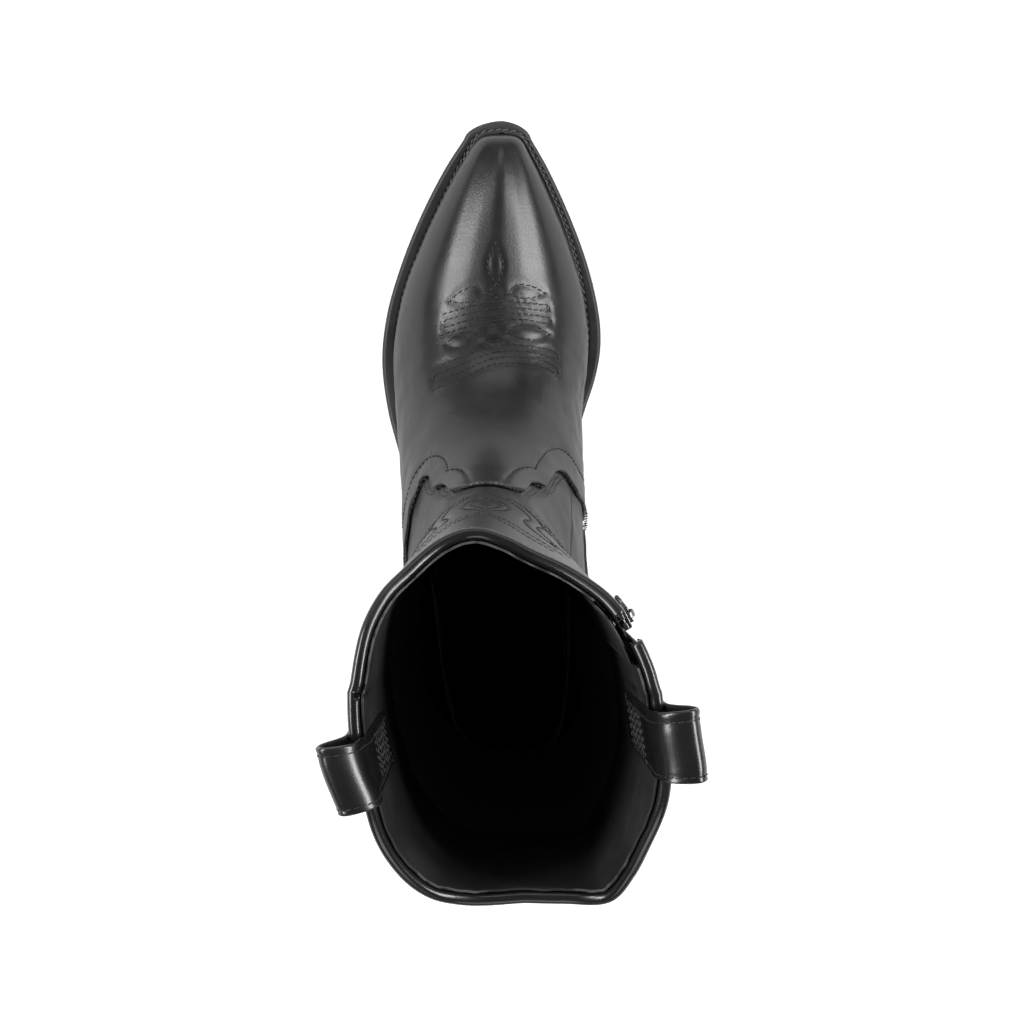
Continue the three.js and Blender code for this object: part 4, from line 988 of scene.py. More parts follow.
# Flames and feathers for one half of a motif, as distance from its middle line against height.
SHAFT_LINES = (
    [(0, 172), (6, 184), (9.5, 202), (7.5, 222), (0, 244)],
    [(0, 184), (3.6, 194), (5.2, 205), (3.8, 218), (0, 229)],
    [(0, 158), (9, 168), (17, 186), (20, 206), (16.5, 228), (20, 250), (31, 272)],
    [(4, 152), (15, 163), (23.5, 184), (26, 206), (22.5, 227), (26, 247), (37, 268)],
    [(31, 272), (29, 258), (37, 268)],
    [(26, 206), (33, 222), (36, 240), (48, 258), (45, 238), (55, 236), (46, 224), (54, 212), (44, 206),
     (50, 192), (40, 190), (42, 174), (32, 176), (30, 162), (15, 163)],
    [(6, 150), (16, 142), (28, 139), (38, 146), (42, 158), (50, 164), (58, 160)],
    [(10, 142), (20, 134), (31, 131), (42, 137), (47, 149), (54, 154), (60, 151)],
    [(0, 262), (7, 274), (16, 286), (28, 296)],
    [(0, 254), (9, 265), (20, 277), (32, 286)],
)
FEATHER_RIBS = (
    [(27.5, 214), (36, 224), (44, 240)],
    [(27.5, 204), (38, 214), (50, 230)],
    [(27, 194), (37, 203), (48, 213)],
    [(25.5, 184), (34, 191), (44, 199)],
    [(22, 174), (30, 179), (38, 185)],
)
SHARP = {5}


def stitch_shaft():
    motifs = (("front", 0.0, 1.0), ("back", 180.0, 0.92))
    for kind, middle, scale in motifs:
        for flip in (-1, 1):
            for i, line in enumerate(SHAFT_LINES + FEATHER_RIBS):
                points = np.array(line, float)
                lift = 0 if kind == "front" else 20
                points = np.stack([points[:, 0] * scale, points[:, 1] * 0.86 + 26 + lift], 1)
                count = 3 if i in SHARP else 8
                fine = resample_flat(points, 3) if i in SHARP else smooth_line(points, count)
                path_on(*on_shaft(fine, middle, flip), MIDDLE_OUT - 0.12, "shaft_" + kind)
    for flip in (-1, 1):
        u = np.linspace(9.6, float(ring_at_height(HEIGHT - 12)), 160)
        for gap in (3.4, 5.6):
            kind = "shaft_front" if flip > 0 else "shaft_back"
            path_on(u, side_angle(-90, u, flip * gap), MIDDLE_OUT - 0.12, kind)
        kind = "shaft_back" if flip > 0 else "shaft_front"
        u = np.linspace(14.6, float(ring_at_height(HEIGHT - 18)), 140)
        for gap in (1.9, 4.2):
            path_on(u, side_angle(ZIP_ANGLE, u, flip * (SLOT_HALF + gap)), MIDDLE_OUT - 0.12, kind)
    for kind, start, end in (("shaft_front", -84.0, 55.0), ("shaft_back", 70.0, 264.0)):
        v = np.linspace(start, end, 200)
        path_on(ring_at_height(topline(v) - 8.6), v, MIDDLE_OUT - 0.12, kind)


def resample_flat(points, step):
    gap = np.linalg.norm(np.diff(points, axis=0), axis=1)
    far = np.concatenate([[0], np.cumsum(gap)])
    at = np.unique(np.concatenate([np.arange(0, far[-1], step), far]))
    return np.stack([np.interp(at, far, points[:, i]) for i in range(2)], 1)


def stitch_counter():
    v = np.linspace(COUNTER_FROM + 3, 357 - COUNTER_FROM, 300)
    for gap in (2.0, 4.2):
        u, w = beside(np.maximum(counter_top(v), counter_low(v) + 0.2), v, -gap)
        path_on(u, w, -0.12, "counter")
    for side in (-1, 1):
        for gap in (2.2, 4.4):
            low = float(counter_low(np.array(side * (COUNTER_FROM + 2))))
            high = float(counter_top(np.array(side * (COUNTER_FROM + 2))))
            u = np.linspace(low + 0.12, high - 0.12, 40)
            path_on(u, side_angle(side * COUNTER_FROM, u, side * gap), -0.12, "counter")


# ---- Upper ----
def build_vamp():
    stitch_vamp()
    s, t = shares(150, 0.01), shares(226, 0.008)
    v = np.broadcast_to(lerp(-UNDER, UNDER, t), (len(s), len(t)))
    even = 8.6 + 3.0 * np.exp(-(v / 32) ** 2)
    end = lerp(even, vamp_top(v), smoothstep(s[:, None], 0.6, 0.98))
    u = s[:, None] ** 0.9 * end
    leather_piece("vamp_leather", u, v, 0.0, -LEATHER, MATERIALS["vamp"], ("toe", "vamp", "vamp_edge"), 0.4,
                  pole=True, slot="upper_leather", replaces=["vamp"])


def build_counter():
    stitch_counter()
    low = lambda v: counter_low(v)
    high = lambda v: np.maximum(counter_top(v), counter_low(v) + 0.2)
    u, v = uv_grid(lambda u: np.full(np.shape(u), COUNTER_FROM),
                   lambda u: np.full(np.shape(u), 360 - COUNTER_FROM),
                   low, high, 80, 150, 0.02, 0.01)
    leather_piece("counter_leather", u, v, 0.0, -LEATHER, MATERIALS["vamp"], ("counter",), 0.4,
                  slot="upper_leather", replaces=["counter_cover"])


def build_shaft():
    stitch_shaft()
    high = lambda v: ring_at_height(topline(v) - 1.4)
    front_low = lambda v: vamp_top(v) - OVERLAP
    u, v = uv_grid(lambda u: side_angle(-90, u, 0.15), lambda u: side_angle(ZIP_ANGLE, u, -slot_half(u)),
                   front_low, high, 190, 150)
    leather_piece("shaft_front_leather", u, v, MIDDLE_OUT, MIDDLE_OUT - PANEL, MATERIALS["shaft"],
                  ("shaft_front",), 0.42, slot="upper_leather", replaces=["shaft_front_panel"])

    def back_low(v):
        beside_it = vamp_top(v) - OVERLAP
        under = np.maximum(beside_it, counter_top(v) - OVERLAP)
        return np.where(np.abs(wrap(v)) < COUNTER_FROM, beside_it, under)
    u, v = uv_grid(lambda u: side_angle(ZIP_ANGLE, u, slot_half(u)),
                   lambda u: 360 + side_angle(-90, u, -0.15),
                   back_low, high, 190, 190)
    leather_piece("shaft_back_leather", u, v, MIDDLE_OUT, MIDDLE_OUT - PANEL, MATERIALS["shaft"],
                  ("shaft_back",), 0.42, slot="upper_leather", replaces=["shaft_back_panel"])


def upper_frames(u, v, off):
    """Centres, sideways and outward directions along a path on the upper."""
    centres = place(u, v, off)
    along = np.gradient(centres, axis=0)
    along /= np.linalg.norm(along, axis=1, keepdims=True)
    outs = skin_normal(u, v)
    sides = np.cross(along, outs)
    sides /= np.linalg.norm(sides, axis=1, keepdims=True)
    return centres, sides, outs


def build_piping():
    u = np.linspace(float(vamp_top(np.array(-90.0))) + 0.35, float(ring_at_height(HEIGHT - 49)), 150)
    v = side_angle(-90, u, 0.0)
    turn = np.radians(np.arange(0, 181, 20))
    profile = [(-1.8 * math.cos(a), -1.5 + 1.75 * math.sin(a) ** 0.9) for a in turn]
    sweep("side_seam_welting", upper_frames(u, v, 0.0), profile + [(1.8, -1.6), (-1.8, -1.6)],
          MATERIALS["trim"], slot="trim_leather", replaces=["side_seam_piping"])


# ---- Linings ----
def build_linings():
    high = lambda v: ring_at_height(topline(v) - 7)
    low = lambda v: np.where(from_back(v) < 44, np.maximum(8.5, SEAT_EDGE(from_back(v))), 8.5)
    wide = lambda u: np.full(np.shape(u), 15.5)
    u, v = uv_grid(lambda u: side_angle(-90, u, 0.15), lambda u: side_angle(ZIP_ANGLE, u, -wide(u)), low,
                   high, 90, 60)
    leather_piece("front_lining_cloth", u, v, LINING_OUT, LINING_OUT - 1.2, MATERIALS["lining"], radius=0.4,
                  slot="lining_cloth", replaces=["shaft_lining_front"])
    u, v = uv_grid(lambda u: side_angle(ZIP_ANGLE, u, wide(u)), lambda u: 360 + side_angle(-90, u, -0.15),
                   low, high, 90, 90)
    leather_piece("back_lining_cloth", u, v, LINING_OUT, LINING_OUT - 1.2, MATERIALS["lining"], radius=0.4,
                  slot="lining_cloth", replaces=["shaft_lining_back"])
    s, t = shares(60, 0.02), shares(80, 0.02)
    v = np.broadcast_to(lerp(-FEATHER, FEATHER, t), (len(s), len(t)))
    leather_piece("vamp_lining_cloth", s[:, None] * np.full(v.shape, 8.4), v, LINING_OUT, LINING_OUT - 1.2,
                  MATERIALS["lining"], radius=0.4, pole=True, slot="lining_cloth", replaces=["vamp_lining"])


def build_sock():
    end = lines_through([(0, 10.9), (14, 10.7), (24, 10.2), (34, 9.5)])
    u, v = uv_grid(lambda u: np.full(np.shape(u), FEATHER + 4), lambda u: np.full(np.shape(u), 356 - FEATHER),
                   lambda v: np.full(np.shape(v), 2.0), lambda v: end(from_back(v)), 70, 40, 0.02, 0.03)
    leather_piece("padded_sock_liner", u, v, -7.4, -9.4, MATERIALS["lining"], radius=0.9,
                  slot="lining_cloth", replaces=["sock_liner"])


def build_facing():
    """The leather band inside the top, its cut edges slightly wavy and given a paler colour that is a painted
    highlight.
    """
    rim = lambda v: topline(v) - 0.75 + 0.3 * np.sin(np.radians(v) * 19) + 0.25 * np.sin(np.radians(v) * 43
                                                                                         + 1)
    hem = lambda v: FACING_LOW + 0.7 * np.sin(np.radians(v) * 3 + 0.6) + 0.3 * np.sin(np.radians(v) * 17)
    start = lambda u: side_angle(ZIP_ANGLE, u, 15.0)
    end = lambda u: 360 + side_angle(ZIP_ANGLE, u, -15.0)
    u, v = uv_grid(start, end, lambda v: ring_at_height(hem(v)), lambda v: ring_at_height(rim(v)), 56, 300,
                   0.02, 0.004)
    piece = leather_piece("top_facing_leather", u, v, FACING_OUT, FACING_IN, MATERIALS["facing"], radius=0.3,
                          slot="trim_leather", replaces=["facing"])
    # second material: paler colour painted along the cut top edge as a painted highlight
    piece.data.materials.append(MATERIALS["painted_edge_highlight"])
    across = np.linspace(start(20.0), end(20.0), 500)
    for lift in (2.2,):
        path_on(ring_at_height(hem(across) + lift), across, FACING_IN - 0.1, "facing")
    edge = uv_edge_faces(piece, u, v)
    for polygon in piece.data.polygons:
        if polygon.index in edge:
            polygon.material_index = 1


def uv_edge_faces(piece, u, v):
    """Faces that lie along the upper cut edge."""
    rim = [tuple(p) for p in to_row(place(u[-1], v[-1], FACING_OUT))]
    rim += [tuple(p) for p in to_row(place(u[-1], v[-1], FACING_IN))]
    rim += [tuple(p) for p in to_row(place(u[-1], v[-1], (FACING_OUT + FACING_IN) / 2))]
    tree = kdtree.KDTree(len(rim))
    for i, p in enumerate(rim):
        tree.insert(p, i)
    tree.balance()
    found = set()
    for polygon in piece.data.polygons:
        if tree.find(polygon.center)[2] < 0.00055:
            found.add(polygon.index)
    return found


# ---- Topline binding ----
def build_binding():
    start = float(side_angle(ZIP_ANGLE, 21.0, SLOT_HALF))
    end = 360 + float(side_angle(ZIP_ANGLE, 21.0, -SLOT_HALF))
    bead = np.radians(np.arange(-42, 223, 15))
    radius, middle, crown = 2.2, -2.5, -1.0
    profile = [(-0.85, -6.0), (-0.75, -3.4)]
    profile += [(middle + radius * math.cos(a), crown + radius * math.sin(a)) for a in bead]
    profile += [(-4.45, -3.4), (-4.6, -6.0), (-3.75, -6.0), (-3.7, -1.7), (-1.6, -1.7), (-1.65, -6.0)]
    angles = np.linspace(start, end, 330)
    uneven = 0.12 * noise(np.stack([angles, angles * 0, angles * 0], 1), 7.0, 4)
    ring = np.stack([place(ring_at_height(topline(angles) + up + (uneven if up > -3 else 0)), angles, off)
                     for off, up in profile], 1)
    columns = len(profile)
    faces = grid_faces(len(angles), columns, 0, False, True)
    faces.append(tuple(range(columns)))
    faces.append(tuple(reversed(range((len(angles) - 1) * columns, len(angles) * columns))))
    new_object("rolled_topline_binding", ring.reshape(-1, 3), faces, MATERIALS["trim"],
               slot="trim_leather", replaces=["topline_binding"])
    v = np.linspace(start + 2, end - 2, 600)
    path_on(ring_at_height(topline(v) - 4.7), v, -0.8, "binding")


# ---- Pull straps ----
STRAP_WIDE, STRAP_RISE, STRAP_DOWN = 22.0, 24.0, 46.0
STRAP_LEANS = {"lateral": 6.2, "medial": 8.0}
STRAP_ANGLES = {"lateral": -101.0, "medial": 96.0}


def strap_path(lean, count=150):
    """Distance outwards against height over the topline, from the outside foot to the inside one."""
    out, inside = LEATHER / 2 + 0.1, FACING_IN - 0.3 - LEATHER / 2
    knots = np.array([(out, -STRAP_DOWN), (out, -STRAP_DOWN / 2), (out, 0), (out + 0.3 * lean, 7),
                      (out + 0.75 * lean, 14),
                      (lean, STRAP_RISE - 4), (lean - 2, STRAP_RISE - 1),
                      (lean - 6, STRAP_RISE - 0.9), (lean - 12, STRAP_RISE - 5), (inside + 0.3, 11),
                      (inside, 0), (inside, -STRAP_DOWN / 2), (inside, -STRAP_DOWN)])
    padded = np.concatenate([[2 * knots[0] - knots[1]], knots, [2 * knots[-1] - knots[-2]]])
    line = []
    for k in range(1, len(padded) - 2):
        p = padded[k - 1:k + 3]
        t = np.concatenate([[0], np.cumsum(np.linalg.norm(np.diff(p, axis=0), axis=1) ** 0.5)])
        x = np.linspace(t[1], t[2], 24, endpoint=False)[:, None]
        a = [p[i] + (p[i + 1] - p[i]) * (x - t[i]) / (t[i + 1] - t[i]) for i in range(3)]
        b = [a[i] + (a[i + 1] - a[i]) * (x - t[i]) / (t[i + 2] - t[i]) for i in range(2)]
        line.append(b[0] + (b[1] - b[0]) * (x - t[1]) / (t[2] - t[1]))
    line = np.concatenate(line + [knots[-1][None]])
    gap = np.concatenate([[0], np.cumsum(np.linalg.norm(np.diff(line, axis=0), axis=1))])
    at = np.linspace(0, gap[-1], count)
    return np.stack([np.interp(at, gap, line[:, i]) for i in range(2)], 1)


def build_strap(name, angle, lean, skew):
    """A folded strap; skew tips the front edge of its loop outwards and the back edge in."""
    path = strap_path(lean)
    along = np.gradient(path, axis=0)
    along /= np.linalg.norm(along, axis=1, keepdims=True)
    half = STRAP_WIDE / 2
    fold = np.radians(np.arange(-90, 91, 30))
    section = [(half - 0.75 + 0.75 * math.cos(a), 0.98 * math.sin(a)) for a in fold]
    top = [(x, 0.8 - 0.18 * math.exp(-((abs(x) - half + 2.3) / 0.9) ** 2))
           for x in np.linspace(half - 1.6, -half + 1.6, 17)]
    section += top + [(-x, -y) for x, y in section] + [(-x, -y) for x, y in top]
    loop = smoothstep(path[:, 1], 0, 14)
    turn = skew * loop
    rings = []
    for x, y in section:
        off = path[:, 0] + along[:, 1] * y + turn * x / half + 0.35 * loop * np.sin(x / half * 2.2)
        up = path[:, 1] - along[:, 0] * y - abs(skew) * 0.25 * loop * (x / half) * np.sign(skew)
        v = angle + degrees_for(x, np.full(len(path), float(LAST_RING)), np.full(len(path), angle))
        base = topline(np.array(angle))
        rings.append(on_skin(ring_at_height(base + up), v,
                             off + soft(ring_at_height(base + up), v) * (1 - loop)))
    ring = np.stack(rings, 1)
    rows, columns = ring.shape[:2]
    faces = grid_faces(rows, columns, 0, False, True)
    faces.append(tuple(range(columns)))
    faces.append(tuple(reversed(range((rows - 1) * columns, rows * columns))))
    new_object(name + "_leather", ring.reshape(-1, 3), faces, MATERIALS["strap"], slot="strap_leather",
               replaces=[name])
    for x in (half - 2.3, 2.3 - half):
        off = path[:, 0] + along[:, 1] * 0.72 + turn * x / half + 0.35 * loop * np.sin(x / half * 2.2)
        up = path[:, 1] - along[:, 0] * 0.72 - abs(skew) * 0.25 * loop * (x / half) * np.sign(skew)
        v = angle + degrees_for(x, np.full(len(path), float(LAST_RING)), np.full(len(path), angle))
        u = ring_at_height(topline(np.array(angle)) + up)
        points = on_skin(u, v, off + soft(u, v) * (1 - loop))
        step = np.gradient(points, axis=0)
        across = on_skin(u, v + 1, off) - points
        normals = np.cross(across, step)
        normals *= np.sign((normals * skin_normal(u, v)).sum(1) * along[:, 1] + 1e-9)[:, None]
        normals /= np.linalg.norm(normals, axis=1, keepdims=True)
        STITCHES.append({"points": points, "normals": normals, "kind": "strap"})
    stitch_strap_foot(angle)


def stitch_strap_foot(angle):
    """Where each strap's feet are sewn on: two bars outside, a zigzag inside."""
    base = float(topline(np.array(angle)))
    half = STRAP_WIDE / 2 - 2.3
    for up in (-STRAP_DOWN + 2.2, -14.0):
        w = np.linspace(-half, half, 20)
        u = np.full(20, float(ring_at_height(base + up)))
        path_on(u, side_angle(angle, u, w), LEATHER + 0.05, "strap")
    count = 14
    w = np.tile([-half, half], count)[:count]
    up = np.linspace(-STRAP_DOWN + 4, -8, count)
    corners = np.stack([w, up], 1)
    fine = resample_flat(corners, 2.0)
    u = ring_at_height(base + fine[:, 1])
    v = side_angle(angle, u, fine[:, 0])
    points = place(u, v, np.full(len(u), FACING_IN - 0.3 - LEATHER))
    STITCHES.append({"points": points, "normals": -skin_normal(u, v), "kind": "strap"})


# ---- Bottom ----
def outline(side, inset=0.0, count=260, first=0.0, last=None):
    """Points (x, d) along one side of the sole, from its toe end to its heel end, moved inwards."""
    last = LENGTH if last is None else last
    t = np.linspace(0, 1, 1500)
    d = first + (last - first) * (1 - np.cos(np.pi * t)) / 2
    d = np.where(t < 0.02, first + (last - first) * (1 - np.cos(np.pi * t)) / 2, d)
    line = np.stack([sole_edge(d, side), d], 1)
    line = resample2(line, count)
    along = np.gradient(line, axis=0)
    along /= np.linalg.norm(along, axis=1, keepdims=True)
    inward = np.stack([-side * np.abs(along[:, 1]),
                       np.where(line[:, 1] < LENGTH / 2, 1, -1) * np.abs(along[:, 0])], 1)
    return line + inward * inset


def resample2(points, count):
    gap = np.linalg.norm(np.diff(points, axis=0), axis=1)
    far = np.concatenate([[0], np.cumsum(gap)])
    at = np.linspace(0, far[-1], count)
    return np.stack([np.interp(at, far, points[:, i]) for i in range(2)], 1)


def loft(name, loops, top_height, bottom_height, material, **kwargs):
    """A closed solid from rings of left and right sides, closed below and above by strips across."""
    rings = [np.concatenate([left, right[::-1]]) for left, right in loops]
    count = len(rings[0])
    faces = grid_faces(len(rings), count, 0, False, True)
    points = [np.concatenate(rings)]
    start = len(rings) * count
    sides = count // 2
    columns = 12
    for (left, right), height, flip in ((loops[0], bottom_height, False), (loops[-1], top_height, True)):
        share = np.linspace(0, 1, columns)[None, :, None]
        cap = lerp(left[:, None, :], right[:, None, :], share)
        cap[..., 2] = height(cap)
        points.append(cap.reshape(-1, 3))
        faces += grid_faces(sides, columns, start, flip)
        start += sides * columns
    return new_object(name, np.concatenate(points), faces, material, **kwargs)


def sole_ring(inset, height, **span):
    both = []
    for side in (-1, 1):
        line = outline(side, inset, **span)
        both.append(np.column_stack([line[:, 0], -line[:, 1], height(line[:, 1])]))
    ends = (both[0][0] + both[1][0]) / 2
    both[0][0] = both[1][0] = ends
    return tuple(both)


def build_outsole():
    thick = SOLE
    levels = [(1.6, 0.0), (0.8, 0.05), (0.3, 0.3), (0.05, 0.8), (0, 1.4), (0, 2.2), (0.3, 2.35), (0.3, 2.6),
              (0, 2.75),
              (0, thick - 0.7), (0.1, thick - 0.3), (0.4, thick - 0.05), (1.4, thick)]
    loops = []
    for inset, up in levels:
        ring = sole_ring(inset, lambda d, up=up: sole_under(d) + up)
        end = (ring[0][-1] + ring[1][-1]) / 2
        ring[0][-1], ring[1][-1] = end, end
        loops.append(ring)
    loft("rubber_outsole", loops, lambda p: sole_top(-p[..., 1]), lambda p: sole_under(-p[..., 1]),
         MATERIALS["sole"], slot="sole_rubber", replaces=["outsole"])


def upper_surface_tree():
    """A search tree of the upper's skin near the sole."""
    u, v = np.meshgrid(np.linspace(0.01, 11.5, 300), np.linspace(-178, 178, 500), indexing="ij")
    points = skin(u, v)
    return BVHTree.FromPolygons([tuple(p) for p in points.reshape(-1, 3)], grid_faces(*u.shape))


def build_welt():
    """The strip sewn round the upper: its inner edge meets the leather, its top carries a sunk seam."""
    tree = upper_surface_tree()
    last = BREAST - 6
    line = np.concatenate([outline(-1, 0.6, 330, last=last)[::-1], outline(1, 0.6, 330, last=last)[1:]])
    line = resample2(line, 620)
    along = np.gradient(line, axis=0)
    along /= np.linalg.norm(along, axis=1, keepdims=True)
    inward = np.stack([along[:, 1], -along[:, 0]], 1)
    centre = np.array([-3.0, 110.0])
    inward *= np.sign(((centre - line) * inward).sum(1))[:, None]
    kernel = np.hanning(9) / np.hanning(9).sum()
    widths = {}
    for lift in (0.7, 1.8, WELT):
        hits = []
        for (x, d), (ix, idd) in zip(line, inward):
            z = float(sole_top(d)) + lift
            hit = tree.ray_cast(Vector((x, -d, z)), Vector((ix, -idd, 0)).normalized(), 30)
            hits.append(hit[3] - 0.25 if hit[0] else 3.0)
        hits = np.clip(np.array(hits), 1.2, 13)
        widths[lift] = np.convolve(np.pad(hits, 4, mode="edge"), kernel, mode="valid")
    seam = np.clip(widths[WELT] - 1.7, 0.9, None)

    def ring(width, lift):
        p = line + inward * width[:, None]
        return np.column_stack([p[:, 0], -p[:, 1], sole_top(p[:, 1]) * 0 + sole_top(line[:, 1]) + lift])
    zero = np.zeros(len(line))
    top = widths[WELT]
    profile = [(zero + 0.5, 0.3), (zero + 0.1, 0.5), (zero, 0.9), (zero, WELT - 0.9),
               (zero + 0.15, WELT - 0.4),
               (zero + 0.5, WELT - 0.1), (zero + 1.0, WELT)]
    for share in (0.35, 0.7):
        profile.append((np.minimum(1.0 + (seam - 1.6) * share, seam - 0.75), WELT))
    profile += [(seam - 0.75, WELT), (seam - 0.45, WELT - 0.28), (seam, WELT - 0.42),
                (seam + 0.45, WELT - 0.28),
                (seam + 0.75, WELT), (top - 0.35, WELT - 0.02), (top, WELT - 0.15), (widths[1.8], 1.8),
                (widths[0.7], 0.7), (widths[0.7], 0.3)]
    ring_points = np.stack([ring(w, lift) for w, lift in profile], 1)
    new_object("stitched_welt", ring_points.reshape(-1, 3), closed_tube(*ring_points.shape[:2]),
               MATERIALS["welt"], slot="welt_edge", replaces=["welt"])
    seam_points = ring(seam, WELT - 0.15)
    STITCHES.append({"points": seam_points[3:-3],
                     "normals": np.tile([0.0, 0.0, 1.0], (len(seam_points) - 6, 1)),
                     "kind": "welt"})


def heel_ring(share, first=BREAST - 8):
    """One level of the heel, from the seat (1) down to the ground (0): left side, right side."""
    both = []
    for side in (-1, 1):
        line = outline(side, 0.0, 150, first=first, last=LENGTH - 0.6)
        seat = sole_under(line[:, 1])
        s = (line[:, 1] - first) / (LENGTH - 0.6 - first)
        z = share * (seat - 0.3) if share > 0 else np.zeros(len(s))
        drop = 1 - z / seat
        left, right = sole_edge(line[:, 1], -1) + 0.6, sole_edge(line[:, 1], 1) - 0.6
        right = np.maximum(left, right)
        middle = (left + right) / 2
        x = middle + (np.where(side < 0, left, right) - middle) * (1 - 0.13 * drop)
        both.append(np.column_stack([x, -line[:, 1] + drop * lerp(-1.5, 9, s), z]))
    return both


def heel_part(name, low, high, material, lift_lines, **kwargs):
    """Part of the heel between two heights; lift_lines sink a line between each layer of the stack."""
    steps = []
    z = low
    while z < high - 0.01:
        for rise in lift_lines:
            if z + rise[0] < high - 0.2:
                steps.append((z + rise[0], rise[1]))
        z += lift_lines[-1][0]
    loops = []
    marks = [(low, 0.5), (low + 0.25, 0.12)] + [m for m in steps if m[0] > low + 0.3] + [(high - 0.25, 0.12),
                                                                                         (high, 0.5)]
    seat_full, ground = heel_ring(1.0), heel_ring(0.0)
    for z, inset in marks:
        ring = []
        for side in (0, 1):
            top, bottom = seat_full[side], ground[side]
            if high > TOP_LIFT + 1:
                height = TOP_LIFT + 0.3 + (top[:, 2] - TOP_LIFT - 0.3) * (z - low) / (high - low)
            else:
                height = np.full(len(top), z)
            share = height / top[:, 2]
            p = bottom + (top - bottom) * share[:, None]
            p[:, 2] = height
            ring.append(p)
        middle = (ring[0] + ring[1]) / 2
        for side in (0, 1):
            gap = ring[side] - middle
            size = np.linalg.norm(gap, axis=1, keepdims=True)
            ring[side] = middle + gap * np.clip((size - inset) / np.maximum(size, 1e-6), 0, 1)
        end = (ring[0][-1] + ring[1][-1]) / 2
        ring[0][-1] = ring[1][-1] = end
        loops.append(tuple(ring))
    flat = lambda index: (lambda p: np.broadcast_to(loops[index][0][:, None, 2], p.shape[:2]))
    loft(name, loops, flat(-1), flat(0), material, **kwargs)


def build_heel():
    layers = [(0.6, 0.0), (4.2, 0.0), (4.45, 0.16), (4.7, 0.16), (4.95, 0.0)]
    heel_part("stacked_heel", TOP_LIFT + 0.3, HEEL_BREAST, MATERIALS["heel"], layers, slot="heel",
              replaces=["heel_block"])
    plain = [(0.8, 0.0), (2.0, 0.0), (3.2, 0.0)]
    heel_part("heel_top_piece", 0.0, TOP_LIFT, MATERIALS["sole"], plain, slot="sole_rubber",
              replaces=["heel_top_lift"])


# ---- Zip ----
CHAIN_LOW, CHAIN_HIGH = SLIDER_Z - ZIP_TRAVEL - 6, SLIDER_Z + 8
ROW_INNER, TAPE_HALF = 0.7, 14.0
TAPE_OUT, TEETH_OUT = -3.6, -1.2
PIVOT_OUT = 1.25


def zip_frame():
    """The slider's own frame: origin, across the zip, outwards, up along it."""
    origin = ZIP_HIGH
    up = (origin - ZIP_LOW) / np.linalg.norm(origin - ZIP_LOW)
    out = skin_normal(np.array(ring_at_height(SLIDER_Z - ZIP_TRAVEL / 2)), np.array(ZIP_ANGLE))
    out = out - up * out.dot(up)
    out /= np.linalg.norm(out)
    return origin, np.cross(out, up), out, up


def in_zip(points):
    origin, across, out, up = zip_frame()
    p = np.asarray(points, float)
    return origin + p[:, :1] * across + p[:, 1:2] * out + p[:, 2:3] * up


def rounded_outline(points, radius, steps=4):
    """A closed 2-D outline with its corners rounded."""
    p = np.asarray(points, float)
    out = []
    for i in range(len(p)):
        a, b, c = p[i - 1], p[i], p[(i + 1) % len(p)]
        r = min(radius, np.linalg.norm(a - b) / 2.2, np.linalg.norm(c - b) / 2.2)
        start, end = b + (a - b) / np.linalg.norm(a - b) * r, b + (c - b) / np.linalg.norm(c - b) * r
        for t in np.linspace(0, 1, steps + 1):
            out.append((1 - t) ** 2 * start + 2 * t * (1 - t) * b + t * t * end)
    return np.array(out)


def even_outline(points, count=96):
    closed = np.concatenate([points, points[:1]])
    return resample2(closed, count + 1)[:-1]


def slab(outline_points, low, high, bevel=0.18):
    """A flat piece with bevelled rims, as points (across, out, up) and faces."""
    line = even_outline(outline_points)
    centre = line.mean(0)
    along = np.roll(line, -1, 0) - np.roll(line, 1, 0)
    inward = np.stack([-along[:, 1], along[:, 0]], 1)
    inward /= np.linalg.norm(inward, axis=1, keepdims=True)
    inward *= np.sign((inward * (centre - line)).sum(1).sum() or 1)
    levels = [(bevel, low), (bevel * 0.3, low + bevel * 0.3), (0, low + bevel), (0, high - bevel),
              (bevel * 0.3, high - bevel * 0.3), (bevel, high)]
    points, count = [], len(line)
    for inset, level in levels:
        p = line + inward * inset
        points.append(np.column_stack([p[:, 0], np.full(count, level), p[:, 1]]))
    faces = grid_faces(len(levels), count, 0, False, True)
    points = np.concatenate(points)
    faces.append(tuple(range(count)))
    faces.append(tuple(reversed(range((len(levels) - 1) * count, len(levels) * count))))
    return points, faces


def ring_slab(outer, inner, low, high, bevel=0.18):
    """A flat ring between two outlines that start at the same side."""
    a, b = even_outline(outer), even_outline(inner)
    gap = (b - a) / np.linalg.norm(b - a, axis=1, keepdims=True)
    section = [(a, low + bevel), (a, high - bevel), (a + gap * bevel, high), (b - gap * bevel, high),
               (b, high - bevel), (b, low + bevel), (b - gap * bevel, low), (a + gap * bevel, low)]
    count = len(a)
    points = np.concatenate([np.column_stack([p[:, 0], np.full(count, h), p[:, 1]]) for p, h in section])
    faces = []
    for i in range(len(section)):
        k = (i + 1) % len(section)
        for j in range(count):
            n = (j + 1) % count
            faces.append((i * count + j, i * count + n, k * count + n, k * count + j))
    return points, faces


def box_outline(x0, x1, y0, y1, radius=0.4):
    return rounded_outline([(x0, y0), (x1, y0), (x1, y1), (x0, y1)], radius)


def joined(parts):
    points, faces, start = [], [], 0
    for p, f in parts:
        points.append(p)
        faces += [tuple(i + start for i in face) for face in f]
        start += len(p)
    return np.concatenate(points), faces


def zip_strip(stretch, near, far, outside, inside, name, material, rows=120, columns=16, **kwargs):
    z = np.linspace(stretch[0], stretch[1], rows)
    t = shares(columns, 0.05)
    u = np.broadcast_to(ring_at_height(z)[:, None], (rows, len(t)))
    v = side_angle(ZIP_ANGLE, u, lerp(near, far, t)[None, :] * np.ones((rows, 1)))
    leather_piece(name, u, v, outside, inside, material, radius=0.2, **kwargs)


